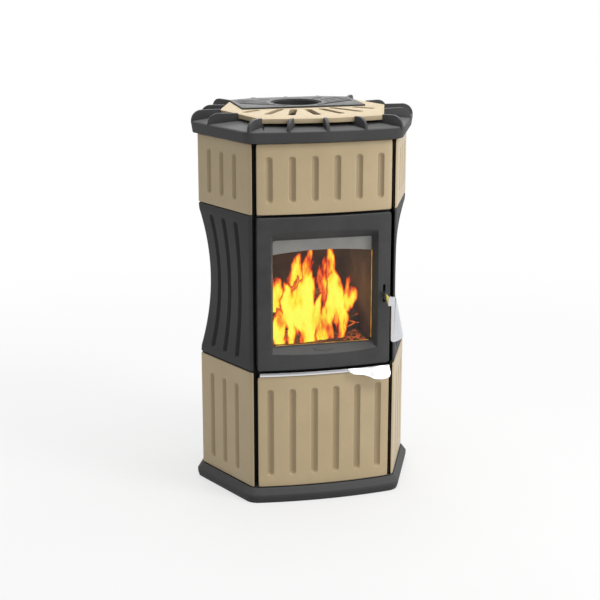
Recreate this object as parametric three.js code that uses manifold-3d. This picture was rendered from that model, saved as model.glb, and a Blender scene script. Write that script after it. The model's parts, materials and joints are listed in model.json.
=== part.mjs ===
// Free-standing tiled stove: a steel firebox in a shell of glazed tiles and cast iron, on a cast
// plinth, under a ribbed cast top with a tile plate and a flue grille. Millimetres, +Z up, the
// front faces -Y, and the origin lies on the floor under the middle of the stove.
import * as THREE from 'three';
import { mergeVertices } from 'three/addons/utils/BufferGeometryUtils.js';
import Module from 'manifold-3d';

const wasm = await Module();
wasm.setup();

// ---- Driving dimensions -------------------------------------------------------------------

// Plan of the outer tile face: a six-sided outline with a bowed front.
const frontHalf = 184;
const cornerDepth = 212;
const widestHalf = 274.7;
const frontBow = 15;
const cornerRadius = 25;
const widestRadius = 7;
const bowSteps = 8;
const roundSteps = 4;

// Clearances and joints.
const seat = 0.3;
const runningGap = 0.4;
const panelInset = 13.7;
const jointWidth = 10;
const doorGap = 4.5;
const castingGap = 4;
const upperGap = 2.2;
const rimGap = 1.7;
const fireDoorHeadGap = 3.7;

// Heights of the courses, from the floor up.
const plinthHeight = 38;
const lowerTileHeight = 303;
const castingHeight = 392.6;
const upperTileHeight = 173.3;
const lowerDoorGap = 1.3;
const lowerDoorTileHeight = 291;
const trimGap = 1.8;
const trimHeight = 9.5;

// Walls.
const tileWall = 14;
const castingWall = 8;
const castingWaist = 28;
const castingLip = 12;
const castingSteps = 6;
const tongueInset = 3;
const tongueWall = 4;
const sheetWall = 3;

// Plinth.
const plinthFlare = 15;
const plinthFoot = 11;
const plinthEdge = 20;
const plinthShoulder = 4;
const plinthWall = 12;
const plinthRoof = 10;
const plinthRib = 9;
const plinthBossRadius = 32;

// Grooves in the tiles and castings.
const grooveWidth = 18;
const grooveDepth = 5.5;
const groovePitch = 56;
const frontGrooves = 6;
const sideGrooves = 3;
const sideGrooveStart = 50;
const sideGroovePitch = 55;
const grooveSides = 10;
const tileGrooveFoot = 29;
const tileGrooveHead = 31;
const lowerSideGrooveHead = 43;
const castingGrooveFoot = 19.5;
const castingGrooveHead = 23;

// Top casting, plate, grille and flue.
const rimFlare = 16;
const rimFoot = 12;
const rimHeight = 29;
const rimWall = 8;
const deckWidth = 44;
const deckRise = 5;
const deckWall = 5;
const ribWidth = 8;
const ribRise = 27;
const ribLedge = 14;
const ribArcSteps = 4;
const frontRibOuter = 97;
const frontRibInner = 79;
const frontSideRib = { rim: 0.7, plate: 0.55 };
const backSideRib = { rim: 0.56, plate: 0.48 };
const cornerRibAcross = 0.5;
const cornerRibAlong = 0.8;
const barWidth = 8;
const barHalf = 150;
const plateGap = 9;
const plateWall = 11;
const plateFrontHalf = 154;
const plateFrontDepth = 189;
const plateFrontBow = 21;
const plateWidestHalf = 215;
const plateWidestDepth = 4;
const plateBackHalf = 163;
const plateBackDepth = 150;
const plateSlotWidth = 19;
const plateSlotInner = 118;
const plateSlotOuter = 229;
const plateSideSlotInner = 160;
const plateSideSlotOuter = 222;
const plateFit = 0.5;
const plateNotchGap = 1;
const plateSlotTurns = [0, 16.5, -16.5, 32, -32];
const plateSideSlotTurns = [49.5, -49.5];
const grilleHalf = 160;
const grilleFrontDepth = 8;
const grilleBackDepth = 160;
const grillePeakHalf = 92;
const grillePeakDepth = 190;
const grilleRaise = 4;
const grilleWall = 8;
const grilleSlotWidth = 5;
const grilleSlotPitch = 25;
const grilleSlotLean = 0.62;
const grilleSlots = 6;
const grilleEdge = 10;
const grilleHub = 16;
const flueDepth = 82;
const flueBore = 120;
const flueWall = 4;
const flueRise = 2;
const flueTail = 10;
const flueFlange = 14;
const flueFlangeWall = 4;
const flueClearance = 2;

// Front frame and cabinet below.
const frameSetback = 34;
const frameEdgeGap = 1.3;
const windowFrameLap = 9;
const windowFrameFoot = 44;
const windowFrameHead = 43;
const lowerOpeningHalf = 145;
const lowerOpeningFoot = 22;
const lowerOpeningHead = 28;
const ledgeWall = 3.6;
const ledgeReach = 29;
const cabinetHalf = 150;
const cabinetBack = 150;

// Back panel.
const backEdgeGap = 1.3;
const backInset = 4;
const ventCount = 7;
const ventWidth = 10;
const ventPitch = 42;
const ventHeight = 70;
const ventMargin = 60;

// Firebox.
const shellHalf = 172;
const shellBack = 172;
const shellWall = 4;
const shellFootGap = 5.9;
const shellHeadGap = 14;
const neckDepth = 26;
const brickWall = 24.5;
const brickHeight = 314;
const floorWall = 29.7;
const ashHoleHalf = 90;
const ashHoleDepth = 70;
const grateWall = 12;
const grateLip = 10;
const gratePlay = 1;
const grateSlots = 7;
const grateSlotWidth = 9;
const grateRim = 10;
const baffleWall = 20;
const baffleSmokeGap = 86;
const logGuardGap = 6;
const logGuardHeight = 56;
const logGuardWall = 6;

// Fire door.
const fireDoorBack = 3;
const glassInset = 43.3;
const glassFoot = 57;
const glassHeadGap = 61;
const glassSetback = 17;
const glassWall = 4;
const glassLap = 8;
const glassPlay = 3;
const bevelSide = 0.39;
const bevelFoot = 0.6;
const bevelHead = 0.78;
const sealWidth = 6;
const sealHeight = 8.4;
const sealOffset = 2.5;
const retainerWall = 2.5;
const airWashDrop = 38;
const airWashArch = 9;
const airWashSteps = 8;

// Hinges.
const hingeInset = 10;
const hingeSetback = 10;
const pinRadius = 3;
const pinPlay = 0.35;
const pinLength = 18;
const bracketWall = 2.8;
const bracketHalf = 9;
const pinSides = 12;
const washerRadius = 7;
const washerHeight = 4.4;
const hingeTabWall = 3;
const notchPlay = 2.5;

// Door handle.
const handleInset = 16.8;
const handleSetback = 10;
const handleHeight = 181;
const handleSlotWidth = 7;
const handleSlotFoot = 157.5;
const handleSlotHead = 205;
const leverWall = 6;
const leverHub = 9;
const leverReach = 66;
const leverTop = 4.5;
const leverWeb = 22;
const latchReach = 42;
const latchHeight = 8;
const leafWall = 5;
const leafLength = 117;
const leafTopWidth = 20;
const leafFootWidth = 31;
const leafNotch = 8;
const leafRound = 9;
const leafCorner = 6;
const leafSag = 5;
const leafToeFoot = 13;
const leafToeHead = 26;
const leafChamfer = 3;
const leafTip = 2;
const leafOverhang = 3;
const keeperWall = 3;
const keeperWidth = 16;
const keeperHeight = 40;
const keeperGap = 1.5;
const keeperSideGap = 1.5;
const latchWindowWidth = 15;
const latchWindowHeight = 66;
const latchWindowShift = 1.5;
const pivotHalf = 10;

// Lower door.
const lowerSheetInset = 3.5;
const trimProud = 5.5;
const trimBack = 6;
const trimFlange = 3;
const tabStart = 58;
const tabReach = 24;
const tabDrop = 30;
const tabWall = 4;
const tabRoot = 1;
const trimInset = 4;
const catchSize = 14;

// Ash pan and air slides.
const panHalf = 110;
const panFront = 150;
const panBack = 90;
const panHeight = 44;
const panHeadGap = 2.7;
const panWall = 2.5;
const panGripReach = 30;
const panGripHalf = 38;
const panGripBar = 6;
const slideWidth = 40;
const slideHeight = 14;
const slideWall = 2.4;
const slideOffset = 75;
const slideTravel = 40;
const slideLift = 12;
const knobRadius = 6;
const knobReach = 13;
const stemHalf = 2.5;
const guideHeight = 3;
const guideWall = 5;

// ---- Levels and places that follow --------------------------------------------------------

const panelHalf = frontHalf - panelInset;
const sideEdge = panelHalf + jointWidth;
const frameHalf = sideEdge - frameEdgeGap;
const backHalf = sideEdge - backEdgeGap;
const glassHalf = panelHalf - glassInset;
const windowFrameHalf = glassHalf + windowFrameLap;
const frameDepth = cornerDepth - frameSetback;
const glassDepth = cornerDepth - glassSetback;
const lowerTileFoot = plinthHeight + seat;
const lowerTileTop = lowerTileFoot + lowerTileHeight;
const castingFoot = lowerTileTop + seat + castingGap;
const castingTop = castingFoot + castingHeight;
const upperTileFoot = castingTop + upperGap + seat;
const upperTileTop = upperTileFoot + upperTileHeight;
const rimFootLevel = upperTileTop + seat + rimGap;
const rimTop = rimFootLevel + rimHeight;
const plateFoot = rimTop + deckRise + plateGap;
const plateTop = plateFoot + plateWall;
const grilleTop = plateTop + grilleRaise;
const grilleFoot = grilleTop - grilleWall;
const ribTop = rimTop + ribRise;
const lowerDoorFoot = plinthHeight + lowerDoorGap;
const lowerDoorTileTop = lowerDoorFoot + lowerDoorTileHeight;
const trimFoot = lowerDoorTileTop + trimGap;
const trimTop = trimFoot + trimHeight;
const fireDoorFoot = trimTop + doorGap;
const ledgeTop = upperTileFoot - seat;
const ledgeFoot = ledgeTop - ledgeWall;
const fireDoorTop = ledgeFoot - fireDoorHeadGap;
const doorBackY = -frameDepth - fireDoorBack;
const glassFront = -glassDepth;
const glassCentreFoot = fireDoorFoot + glassFoot;
const glassHead = fireDoorTop - glassHeadGap;
const handleX = panelHalf - handleInset;
const neckHalf = handleX - keeperWidth / 2 - keeperSideGap;
const logGuardHalf = neckHalf - shellWall - logGuardGap;
const handleZ = fireDoorFoot + handleHeight;
const pivotY = -cornerDepth + handleSetback;
const lowerOpeningTop = lowerDoorTileTop - lowerOpeningHead;
const panFoot = lowerOpeningTop - panHeadGap - panHeight;
const shelfTop = panFoot - seat;
const shellFoot = fireDoorFoot + shellFootGap;
const shellTop = upperTileTop - shellHeadGap;
const slideMiddle = lowerDoorTileTop - lowerOpeningHead / 2 + slideLift;
const firebrickFoot = shellFoot + shellWall + seat + floorWall + seat;
const brickInner = shellHalf - shellWall - seat - brickWall;
const shellFront = -frameDepth + sheetWall + seat + neckDepth;
const hingeX = -panelHalf + hingeInset;
const hingeY = -cornerDepth + hingeSetback;
const bowRadius = (frontHalf * frontHalf + frontBow * frontBow) / (2 * frontBow);
const grooveRadius = (grooveWidth * grooveWidth / 4 + grooveDepth * grooveDepth) / (2 * grooveDepth);
const far = 1200;

// ---- Finishes -----------------------------------------------------------------------------

function finish(color, roughness, metalness) {
  return new THREE.MeshStandardMaterial({ color, roughness, metalness });
}

const glaze = finish(0xb5a27c, 0.45, 0);
const plateGlaze = finish(0xe6d5b2, 0.4, 0);
const castIron = finish(0x46474a, 0.6, 0.3);
const blackSteel = finish(0x151515, 0.7, 0.3);
const chrome = finish(0xd9dbe0, 0.15, 1);
const greySteel = finish(0x8c8f93, 0.4, 0.6);
const glass = finish(0x40362c, 0.05, 0);
const firebrick = finish(0x5d4a3a, 0.9, 0);
const rope = finish(0x3a3a38, 0.95, 0);

// ---- Solids -------------------------------------------------------------------------------

function toSolid(geometry) {
  geometry.deleteAttribute('normal');
  geometry.deleteAttribute('uv');
  const merged = mergeVertices(geometry, 1e-3);
  const vertProperties = new Float32Array(merged.attributes.position.array);
  const triVerts = new Uint32Array(merged.index.array);
  return new wasm.Manifold(new wasm.Mesh({ numProp: 3, vertProperties, triVerts }));
}

function toGeometry(solid) {
  const mesh = solid.getMesh();
  const geometry = new THREE.BufferGeometry();
  geometry.setAttribute('position', new THREE.BufferAttribute(mesh.vertProperties, 3));
  geometry.setIndex(new THREE.BufferAttribute(mesh.triVerts, 1));
  geometry.computeVertexNormals();
  return geometry;
}

function block([x0, x1], [y0, y1], [z0, z1]) {
  const geometry = new THREE.BoxGeometry(x1 - x0, y1 - y0, z1 - z0);
  geometry.translate((x0 + x1) / 2, (y0 + y1) / 2, (z0 + z1) / 2);
  return toSolid(geometry);
}

// A round bar between two levels, or between two x values when it lies along X.
function post(radius, [x, y], [z0, z1], sides = pinSides) {
  const geometry = new THREE.CylinderGeometry(radius, radius, z1 - z0, sides);
  geometry.rotateX(Math.PI / 2);
  geometry.translate(x, y, (z0 + z1) / 2);
  return toSolid(geometry);
}

function crossBar(radius, [x0, x1], [y, z], sides = pinSides) {
  const geometry = new THREE.CylinderGeometry(radius, radius, x1 - x0, sides);
  geometry.rotateZ(Math.PI / 2);
  geometry.translate((x0 + x1) / 2, y, z);
  return toSolid(geometry);
}

// A straight wall on an outline of [x, y] points.
function prism(points, [z0, z1]) {
  const shape = new THREE.Shape(points.map(([x, y]) => new THREE.Vector2(x, y)));
  const geometry = new THREE.ExtrudeGeometry(shape, { depth: z1 - z0, bevelEnabled: false });
  geometry.translate(0, 0, z0);
  return toSolid(geometry);
}

// A plate on an outline of [y, z] points, between two x values.
function sidePlate(points, [x0, x1]) {
  const shape = new THREE.Shape(points.map(([y, z]) => new THREE.Vector2(y, z)));
  const geometry = new THREE.ExtrudeGeometry(shape, { depth: x1 - x0, bevelEnabled: false });
  geometry.rotateY(Math.PI / 2);
  geometry.rotateX(Math.PI / 2);
  geometry.translate(x0, 0, 0);
  return toSolid(geometry);
}

// A plate on an outline of [x, z] points, between two y values.
function frontPlate(points, [y0, y1]) {
  const shape = new THREE.Shape(points.map(([x, z]) => new THREE.Vector2(x, z)));
  const geometry = new THREE.ExtrudeGeometry(shape, { depth: y1 - y0, bevelEnabled: false });
  geometry.rotateX(Math.PI / 2);
  geometry.translate(0, y1, 0);
  return toSolid(geometry);
}

// A closed skin through rings of [x, y] points, each at its own level.
function loft(levels) {
  const count = levels[0].points.length;
  const positions = levels.flatMap(({ points, z }) => points.flatMap(([x, y]) => [x, y, z]));
  const index = [];
  for (let ring = 0; ring + 1 < levels.length; ring += 1) {
    for (let i = 0; i < count; i += 1) {
      const next = (i + 1) % count;
      const a = ring * count + i;
      const b = ring * count + next;
      index.push(a, b, b + count, a, b + count, a + count);
    }
  }
  const cap = (points) => {
    return THREE.ShapeUtils.triangulateShape(points.map(([x, y]) => new THREE.Vector2(x, y)), []);
  };
  const top = (levels.length - 1) * count;
  cap(levels[0].points).forEach(([a, b, c]) => index.push(a, c, b));
  cap(levels.at(-1).points).forEach(([a, b, c]) => index.push(top + a, top + b, top + c));
  const geometry = new THREE.BufferGeometry();
  geometry.setAttribute('position', new THREE.BufferAttribute(new Float32Array(positions), 3));
  geometry.setIndex(index);
  return toSolid(geometry);
}

const joinAll = (solids) => solids.reduce((whole, next) => whole.add(next));
const cutAll = (solid, cutters) => cutters.reduce((whole, next) => whole.subtract(next), solid);

// ---- Outlines -----------------------------------------------------------------------------

// Moves every edge of a counter-clockwise outline outwards and keeps its corner radii.
function offsetOutline(points, distance) {
  return points.map(({ x, y, radius }, i) => {
    const before = points.at(i - 1);
    const after = points[(i + 1) % points.length];
    const inEdge = new THREE.Vector2(x - before.x, y - before.y).normalize();
    const outEdge = new THREE.Vector2(after.x - x, after.y - y).normalize();
    const inNormal = new THREE.Vector2(inEdge.y, -inEdge.x);
    const outNormal = new THREE.Vector2(outEdge.y, -outEdge.x);
    const mitre = inNormal.add(outNormal);
    const scale = 2 * distance / mitre.lengthSq();
    const rounded = radius ? Math.max(radius + distance, 1) : 0;
    return { x: x + mitre.x * scale, y: y + mitre.y * scale, radius: rounded };
  });
}

// Replaces each corner that has a radius by an arc, as [x, y] points.
function roundOutline(points) {
  return points.flatMap(({ x, y, radius }, i) => {
    if (!radius) return [[x, y]];
    const here = new THREE.Vector2(x, y);
    const back = new THREE.Vector2(points.at(i - 1).x, points.at(i - 1).y).sub(here).normalize();
    const on = points[(i + 1) % points.length];
    const ahead = new THREE.Vector2(on.x, on.y).sub(here).normalize();
    const half = Math.acos(THREE.MathUtils.clamp(back.dot(ahead), -1, 1)) / 2;
    const middle = back.clone().add(ahead).normalize().multiplyScalar(radius / Math.sin(half)).add(here);
    const first = back.clone().multiplyScalar(radius / Math.tan(half)).add(here).sub(middle);
    const turn = Math.PI - 2 * half;
    return Array.from({ length: roundSteps + 1 }, (_, step) => {
      const spoke = first.clone().rotateAround(new THREE.Vector2(), turn * step / roundSteps);
      return [middle.x + spoke.x, middle.y + spoke.y];
    });
  });
}

// Points of the bowed front between its two corners.
function bowPoints(half, depth, bow) {
  const radius = (half * half + bow * bow) / (2 * bow);
  return Array.from({ length: bowSteps - 1 }, (_, i) => {
    const x = -half + 2 * half * (i + 1) / bowSteps;
    return { x, y: -depth - bow + radius - Math.sqrt(radius * radius - x * x), radius: 0 };
  });
}

// The stove's plan, grown by a distance; pull draws the widest corners in.
function stoveOutline(distance, pull = 0) {
  const corners = [
    { x: -frontHalf, y: -cornerDepth, radius: cornerRadius },
    ...bowPoints(frontHalf, cornerDepth, frontBow),
    { x: frontHalf, y: -cornerDepth, radius: cornerRadius },
    { x: widestHalf - pull, y: 0, radius: widestRadius },
    { x: frontHalf, y: cornerDepth, radius: cornerRadius },
    { x: -frontHalf, y: cornerDepth, radius: cornerRadius },
    { x: -widestHalf + pull, y: 0, radius: widestRadius },
  ];
  return roundOutline(offsetOutline(corners, distance));
}

const stoveRing = (outside, inside, levels) => {
  const core = prism(stoveOutline(inside), [levels[0] - 1, levels[1] + 1]);
  return prism(stoveOutline(outside), levels).subtract(core);
};

// Depth of the front face at a given x.
const frontY = (x) => -cornerDepth - frontBow + bowRadius - Math.sqrt(bowRadius * bowRadius - x * x);

const lowerSheetFront = frontY(panelHalf) + tileWall + 2 * seat;
const sideSector = (side, levels) => {
  return block(side < 0 ? [-far, -sideEdge] : [sideEdge, far], [-far, far], levels);
};
const frontSector = (levels) => block([-panelHalf, panelHalf], [-far, -cornerDepth / 2], levels);

// ---- Grooves ------------------------------------------------------------------------------

// A scooped groove cutter with round ends; place(z) gives its point on the face and the normal.
function groove(place, [z0, z1], middleSteps = 1) {
  const end = grooveWidth / 2;
  const ends = [[0, 0.56], [0.12, 0.74], [0.45, 0.93], [1, 1]];
  const foot = ends.map(([along, size]) => [z0 + along * end, size]);
  const head = ends.map(([along, size]) => [z1 - along * end, size]).reverse();
  const middle = Array.from({ length: middleSteps - 1 }, (_, i) => {
    return [z0 + end + (z1 - z0 - 2 * end) * (i + 1) / middleSteps, 1];
  });
  const levels = [...foot, ...middle, ...head].map(([z, size]) => {
    const { x, y, normal } = place(z);
    const reach = grooveRadius - grooveDepth;
    const points = Array.from({ length: grooveSides }, (_, i) => {
      const angle = 2 * Math.PI * (i + 0.5) / grooveSides;
      const cx = x + normal.x * reach + Math.cos(angle) * grooveRadius * size;
      return [cx, y + normal.y * reach + Math.sin(angle) * grooveRadius * size];
    });
    return { points, z };
  });
  return loft(levels);
}

function frontGrooveCutters(foot, head) {
  return Array.from({ length: frontGrooves }, (_, i) => {
    const x = (i - (frontGrooves - 1) / 2) * groovePitch;
    return groove(() => ({ x, y: frontY(x), normal: new THREE.Vector2(0, -1) }), [foot, head]);
  });
}

// Grooves of one side: a set on the front-side face and a set on the back-side face.
function sideGrooveCutters(side, [foot, head], pullAt = () => 0, middleSteps = 1) {
  return [-1, 1].flatMap((end) => Array.from({ length: sideGrooves }, (_, i) => {
    const distance = sideGrooveStart + i * sideGroovePitch;
    return groove((z) => {
      const widest = new THREE.Vector2(side * (widestHalf - pullAt(z)), 0);
      const along = new THREE.Vector2(side * frontHalf, end * cornerDepth).sub(widest).normalize();
      const normal = new THREE.Vector2(Math.abs(along.y) * side, Math.abs(along.x) * end);
      const point = along.multiplyScalar(distance).add(widest);
      return { x: point.x, y: point.y, normal };
    }, [foot, head], middleSteps);
  }));
}

// ---- Assembly -----------------------------------------------------------------------------

const stove = new THREE.Group();
const body = new THREE.Group();
const fireDoor = new THREE.Group();
const handle = new THREE.Group();
const lowerDoor = new THREE.Group();
const airControls = new THREE.Group();
fireDoor.add(handle);
stove.add(body, fireDoor, lowerDoor, airControls);

function piece(group, name, solid, material) {
  const mesh = new THREE.Mesh(toGeometry(solid), material);
  mesh.name = name;
  group.add(mesh);
}

// Plinth: a flared casting, hollow underneath, with two ribs and a boss that reach the floor.
function makePlinth() {
  const outer = loft([
    { points: stoveOutline(plinthFoot), z: 0 },
    { points: stoveOutline(plinthFlare - 1), z: plinthEdge / 2 },
    { points: stoveOutline(plinthFlare), z: plinthEdge },
    { points: stoveOutline(plinthShoulder), z: plinthHeight - 1 },
    { points: stoveOutline(plinthShoulder - 1), z: plinthHeight },
  ]);
  const hollow = prism(stoveOutline(-plinthWall), [-1, plinthHeight - plinthRoof]);
  const roof = plinthHeight - plinthRoof / 2;
  const ribs = [
    block([-plinthRib / 2, plinthRib / 2], [-cornerDepth, cornerDepth], [0, roof]),
    block([-widestHalf, widestHalf], [-plinthRib / 2, plinthRib / 2], [0, roof]),
    post(plinthBossRadius, [0, 0], [0, roof], 24),
  ];
  piece(body, 'base_plinth', joinAll([outer.subtract(hollow), ...ribs]), castIron);
}

// Side shells: a tile below, a waisted casting and a tile above, on each side.
function makeSide(side, word) {
  const shell = (levels) => stoveRing(0, -tileWall, levels).intersect(sideSector(side, levels));
  const lowerGrooves = [lowerTileFoot + tileGrooveFoot, lowerTileTop - lowerSideGrooveHead];
  const lower = cutAll(shell([lowerTileFoot, lowerTileTop]), sideGrooveCutters(side, lowerGrooves));
  piece(body, `lower_tile_${word}`, lower, glaze);

  const upperGrooves = [upperTileFoot + tileGrooveFoot, upperTileTop - tileGrooveHead];
  const upper = cutAll(shell([upperTileFoot, upperTileTop]), sideGrooveCutters(side, upperGrooves));
  piece(body, `upper_tile_${word}`, upper, glaze);
  piece(body, `side_casting_${word}`, makeSideCasting(side), castIron);
}

// How far the widest corner of a side casting is drawn in at a level.
function waistAt(z) {
  const middle = (castingFoot + castingTop) / 2;
  const reach = castingHeight / 2 - castingLip;
  const share = Math.min(Math.abs(z - middle) / reach, 1);
  return castingWaist * (1 - share * share);
}

function makeSideCasting(side) {
  const steps = castingSteps;
  const first = castingFoot + castingLip;
  const last = castingTop - castingLip;
  const bend = Array.from({ length: steps + 1 }, (_, i) => first + (last - first) * i / steps);
  const skin = (offset, levels) => {
    return loft(levels.map((z) => ({ points: stoveOutline(offset, waistAt(z)), z })));
  };
  const outer = skin(0, [castingFoot, ...bend, castingTop]);
  const inner = skin(-castingWall, [castingFoot - 1, ...bend, castingTop + 1]);
  const tongueLevels = [lowerTileTop + seat, upperTileFoot - seat];
  const tongue = (levels) => stoveRing(-tongueInset, -tongueInset - tongueWall, levels);
  const wall = joinAll([
    outer.subtract(inner),
    tongue([tongueLevels[0], castingFoot + castingLip / 2]),
    tongue([castingTop - castingLip / 2, tongueLevels[1]]),
  ]).intersect(sideSector(side, tongueLevels));
  const grooveLevels = [castingFoot + castingGrooveFoot, castingTop - castingGrooveHead];
  return cutAll(wall, sideGrooveCutters(side, grooveLevels, waistAt, steps));
}

function makeUpperFrontTile() {
  const levels = [upperTileFoot, upperTileTop];
  const slab = stoveRing(0, -tileWall, levels).intersect(frontSector(levels));
  const cutters = frontGrooveCutters(upperTileFoot + tileGrooveFoot, upperTileTop - tileGrooveHead);
  piece(body, 'upper_tile_front', cutAll(slab, cutters), glaze);
}

// Top casting: a flared rim and deck on a seating ring, with radial ribs and two carrying bars.
function makeTopCasting() {
  const skin = loft([
    { points: stoveOutline(rimFoot), z: rimFootLevel },
    { points: stoveOutline(rimFlare), z: rimTop - deckWall / 2 },
    { points: stoveOutline(rimFlare - 2.5), z: rimTop },
    { points: stoveOutline(-deckWidth + 2), z: rimTop + deckRise },
  ]);
  const under = prism(stoveOutline(rimFlare - rimWall - 4), [rimFootLevel - 1, rimTop - deckWall]);
  const hole = prism(stoveOutline(-deckWidth), [rimFootLevel - 1, plateTop]);
  const seatLevels = [upperTileTop + seat, rimTop - deckWall / 2];
  const seating = stoveRing(-tongueInset, -tongueInset - tongueWall, seatLevels);
  const ribs = ribPlaces().map(([outer, inner]) => makeRib(outer, inner));
  const bars = [-1, 1].flatMap((side) => {
    const across = [side * barHalf - barWidth / 2, side * barHalf + barWidth / 2];
    const reach = cornerDepth - deckWidth / 2;
    return [
      block(across, [-reach, reach], [rimTop - deckWall, plateFoot - seat]),
      block(across, [-grilleFrontDepth + seat, grilleBackDepth - grilleEdge], [rimTop, grilleFoot - seat]),
    ];
  });
  const pockets = [
    topPlateSolid(plateFit, [plateFoot - seat, far]),
    prism(grilleOutline(plateFit), [grilleFoot - seat, far]),
  ];
  const casting = joinAll([cutAll(skin, [under, hole]), seating, ...ribs, ...bars]);
  piece(body, 'top_casting', cutAll(casting, pockets), castIron);
}

// Each rib runs from the rim's face to a point under the plate or grille that it carries.
function ribPlaces() {
  const rim = rimFlare - 1;
  const frontBand = plateFrontDepth + plateFrontBow;
  const faceNormal = new THREE.Vector2(cornerDepth, widestHalf - frontHalf).normalize();
  const onSide = (share, end) => [
    THREE.MathUtils.lerp(frontHalf, widestHalf, share) + rim * faceNormal.x,
    end * (cornerDepth * (1 - share) + rim * faceNormal.y),
  ];
  const onPlate = (share, half, depth) => [
    THREE.MathUtils.lerp(half, plateWidestHalf, share),
    THREE.MathUtils.lerp(depth, plateWidestDepth, share),
  ];
  const cornerRib = (end) => [frontHalf + rim * cornerRibAcross, end * (cornerDepth + rim * cornerRibAlong)];
  const half = [
    [cornerRib(-1), [plateFrontHalf, -plateFrontDepth]],
    [[frontRibOuter, frontY(frontRibOuter) - rim], [frontRibInner, -frontBand + 5]],
    [onSide(frontSideRib.rim, -1), onPlate(frontSideRib.plate, plateFrontHalf, -plateFrontDepth)],
    [[widestHalf + rim, 0], [plateWidestHalf, plateWidestDepth]],
    [onSide(backSideRib.rim, 1), onPlate(backSideRib.plate, plateBackHalf, plateBackDepth)],
    [cornerRib(1), [grilleHalf, grilleBackDepth]],
    [[grillePeakHalf, cornerDepth + rim], [grillePeakHalf - 6, grillePeakDepth]],
  ];
  const mirrored = half.map(([[ox, oy], [ix, iy]]) => [[-ox, oy], [-ix, iy]]);
  const middle = [
    [[0, frontY(0) - rim], [0, -frontBand]],
    [[0, cornerDepth + rim], [0, grillePeakDepth]],
  ];
  return [...half, ...mirrored, ...middle];
}

// A rib with a quarter-round outer end; its inner end reaches under what it carries.
function makeRib([ox, oy], [ix, iy]) {
  const length = Math.hypot(ix - ox, iy - oy);
  const curve = Math.min(ribRise, length * 0.8);
  const foot = rimTop - deckWall;
  const arc = Array.from({ length: ribArcSteps + 1 }, (_, i) => {
    const angle = Math.PI / 2 * i / ribArcSteps;
    return new THREE.Vector2(curve - curve * Math.cos(angle), rimTop + ribRise * Math.sin(angle));
  });
  const shape = new THREE.Shape([
    new THREE.Vector2(0, foot),
    ...arc,
    new THREE.Vector2(length + ribLedge, ribTop),
    new THREE.Vector2(length + ribLedge, foot),
  ]);
  const geometry = new THREE.ExtrudeGeometry(shape, { depth: ribWidth, bevelEnabled: false });
  geometry.translate(0, 0, -ribWidth / 2);
  geometry.rotateX(Math.PI / 2);
  geometry.rotateZ(Math.atan2(iy - oy, ix - ox));
  geometry.translate(ox, oy, 0);
  return toSolid(geometry);
}

// A slot with round ends that points away from the flue, between two radii.
function radialSlot(degrees, [inner, outer], width, levels) {
  const angle = THREE.MathUtils.degToRad(degrees - 90);
  const half = width / 2;
  const round = (centre, from) => Array.from({ length: roundSteps + 1 }, (_, i) => {
    const turn = from + Math.PI * i / roundSteps;
    return [centre + half * Math.cos(turn), half * Math.sin(turn)];
  });
  const outline = [...round(outer - half, -Math.PI / 2), ...round(inner + half, Math.PI / 2)];
  const turned = outline.map(([along, across]) => [
    along * Math.cos(angle) - across * Math.sin(angle),
    flueDepth + along * Math.sin(angle) + across * Math.cos(angle),
  ]);
  return prism(turned, levels);
}

// Plan of the tile plate without its slots, grown by a distance.
function topPlateSolid(distance, levels) {
  const outline = [
    { x: -plateFrontHalf, y: -plateFrontDepth, radius: 3 },
    ...bowPoints(plateFrontHalf, plateFrontDepth, plateFrontBow),
    { x: plateFrontHalf, y: -plateFrontDepth, radius: 3 },
    { x: plateWidestHalf, y: plateWidestDepth, radius: 6 },
    { x: plateBackHalf, y: plateBackDepth, radius: 1 },
    { x: -plateBackHalf, y: plateBackDepth, radius: 1 },
    { x: -plateWidestHalf, y: plateWidestDepth, radius: 6 },
  ];
  const notchHalf = grilleHalf + plateNotchGap - distance;
  const notchFront = -grilleFrontDepth - plateNotchGap + distance;
  const notch = block([-notchHalf, notchHalf], [notchFront, far], [levels[0] - 1, levels[1] + 1]);
  return prism(roundOutline(offsetOutline(outline, distance)), levels).subtract(notch);
}

// Tile plate: it surrounds the front and sides of the grille.
function makeTopPlate() {
  const cut = [plateFoot - 1, plateTop + 1];
  const middle = plateSlotTurns.map((turn) => {
    return radialSlot(turn, [plateSlotInner, plateSlotOuter], plateSlotWidth, cut);
  });
  const outside = plateSideSlotTurns.map((turn) => {
    return radialSlot(turn, [plateSideSlotInner, plateSideSlotOuter], plateSlotWidth, cut);
  });
  const slab = topPlateSolid(0, [plateFoot, plateTop]);
  piece(body, 'top_plate', cutAll(slab, [...middle, ...outside]), plateGlaze);
}

function grilleOutline(distance) {
  const corners = [
    [-grilleHalf, -grilleFrontDepth],
    [grilleHalf, -grilleFrontDepth],
    [grilleHalf, grilleBackDepth],
    [grillePeakHalf, grillePeakDepth],
    [-grillePeakHalf, grillePeakDepth],
    [-grilleHalf, grilleBackDepth],
  ];
  return roundOutline(offsetOutline(corners.map(([x, y]) => ({ x, y, radius: 0 })), distance));
}

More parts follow.
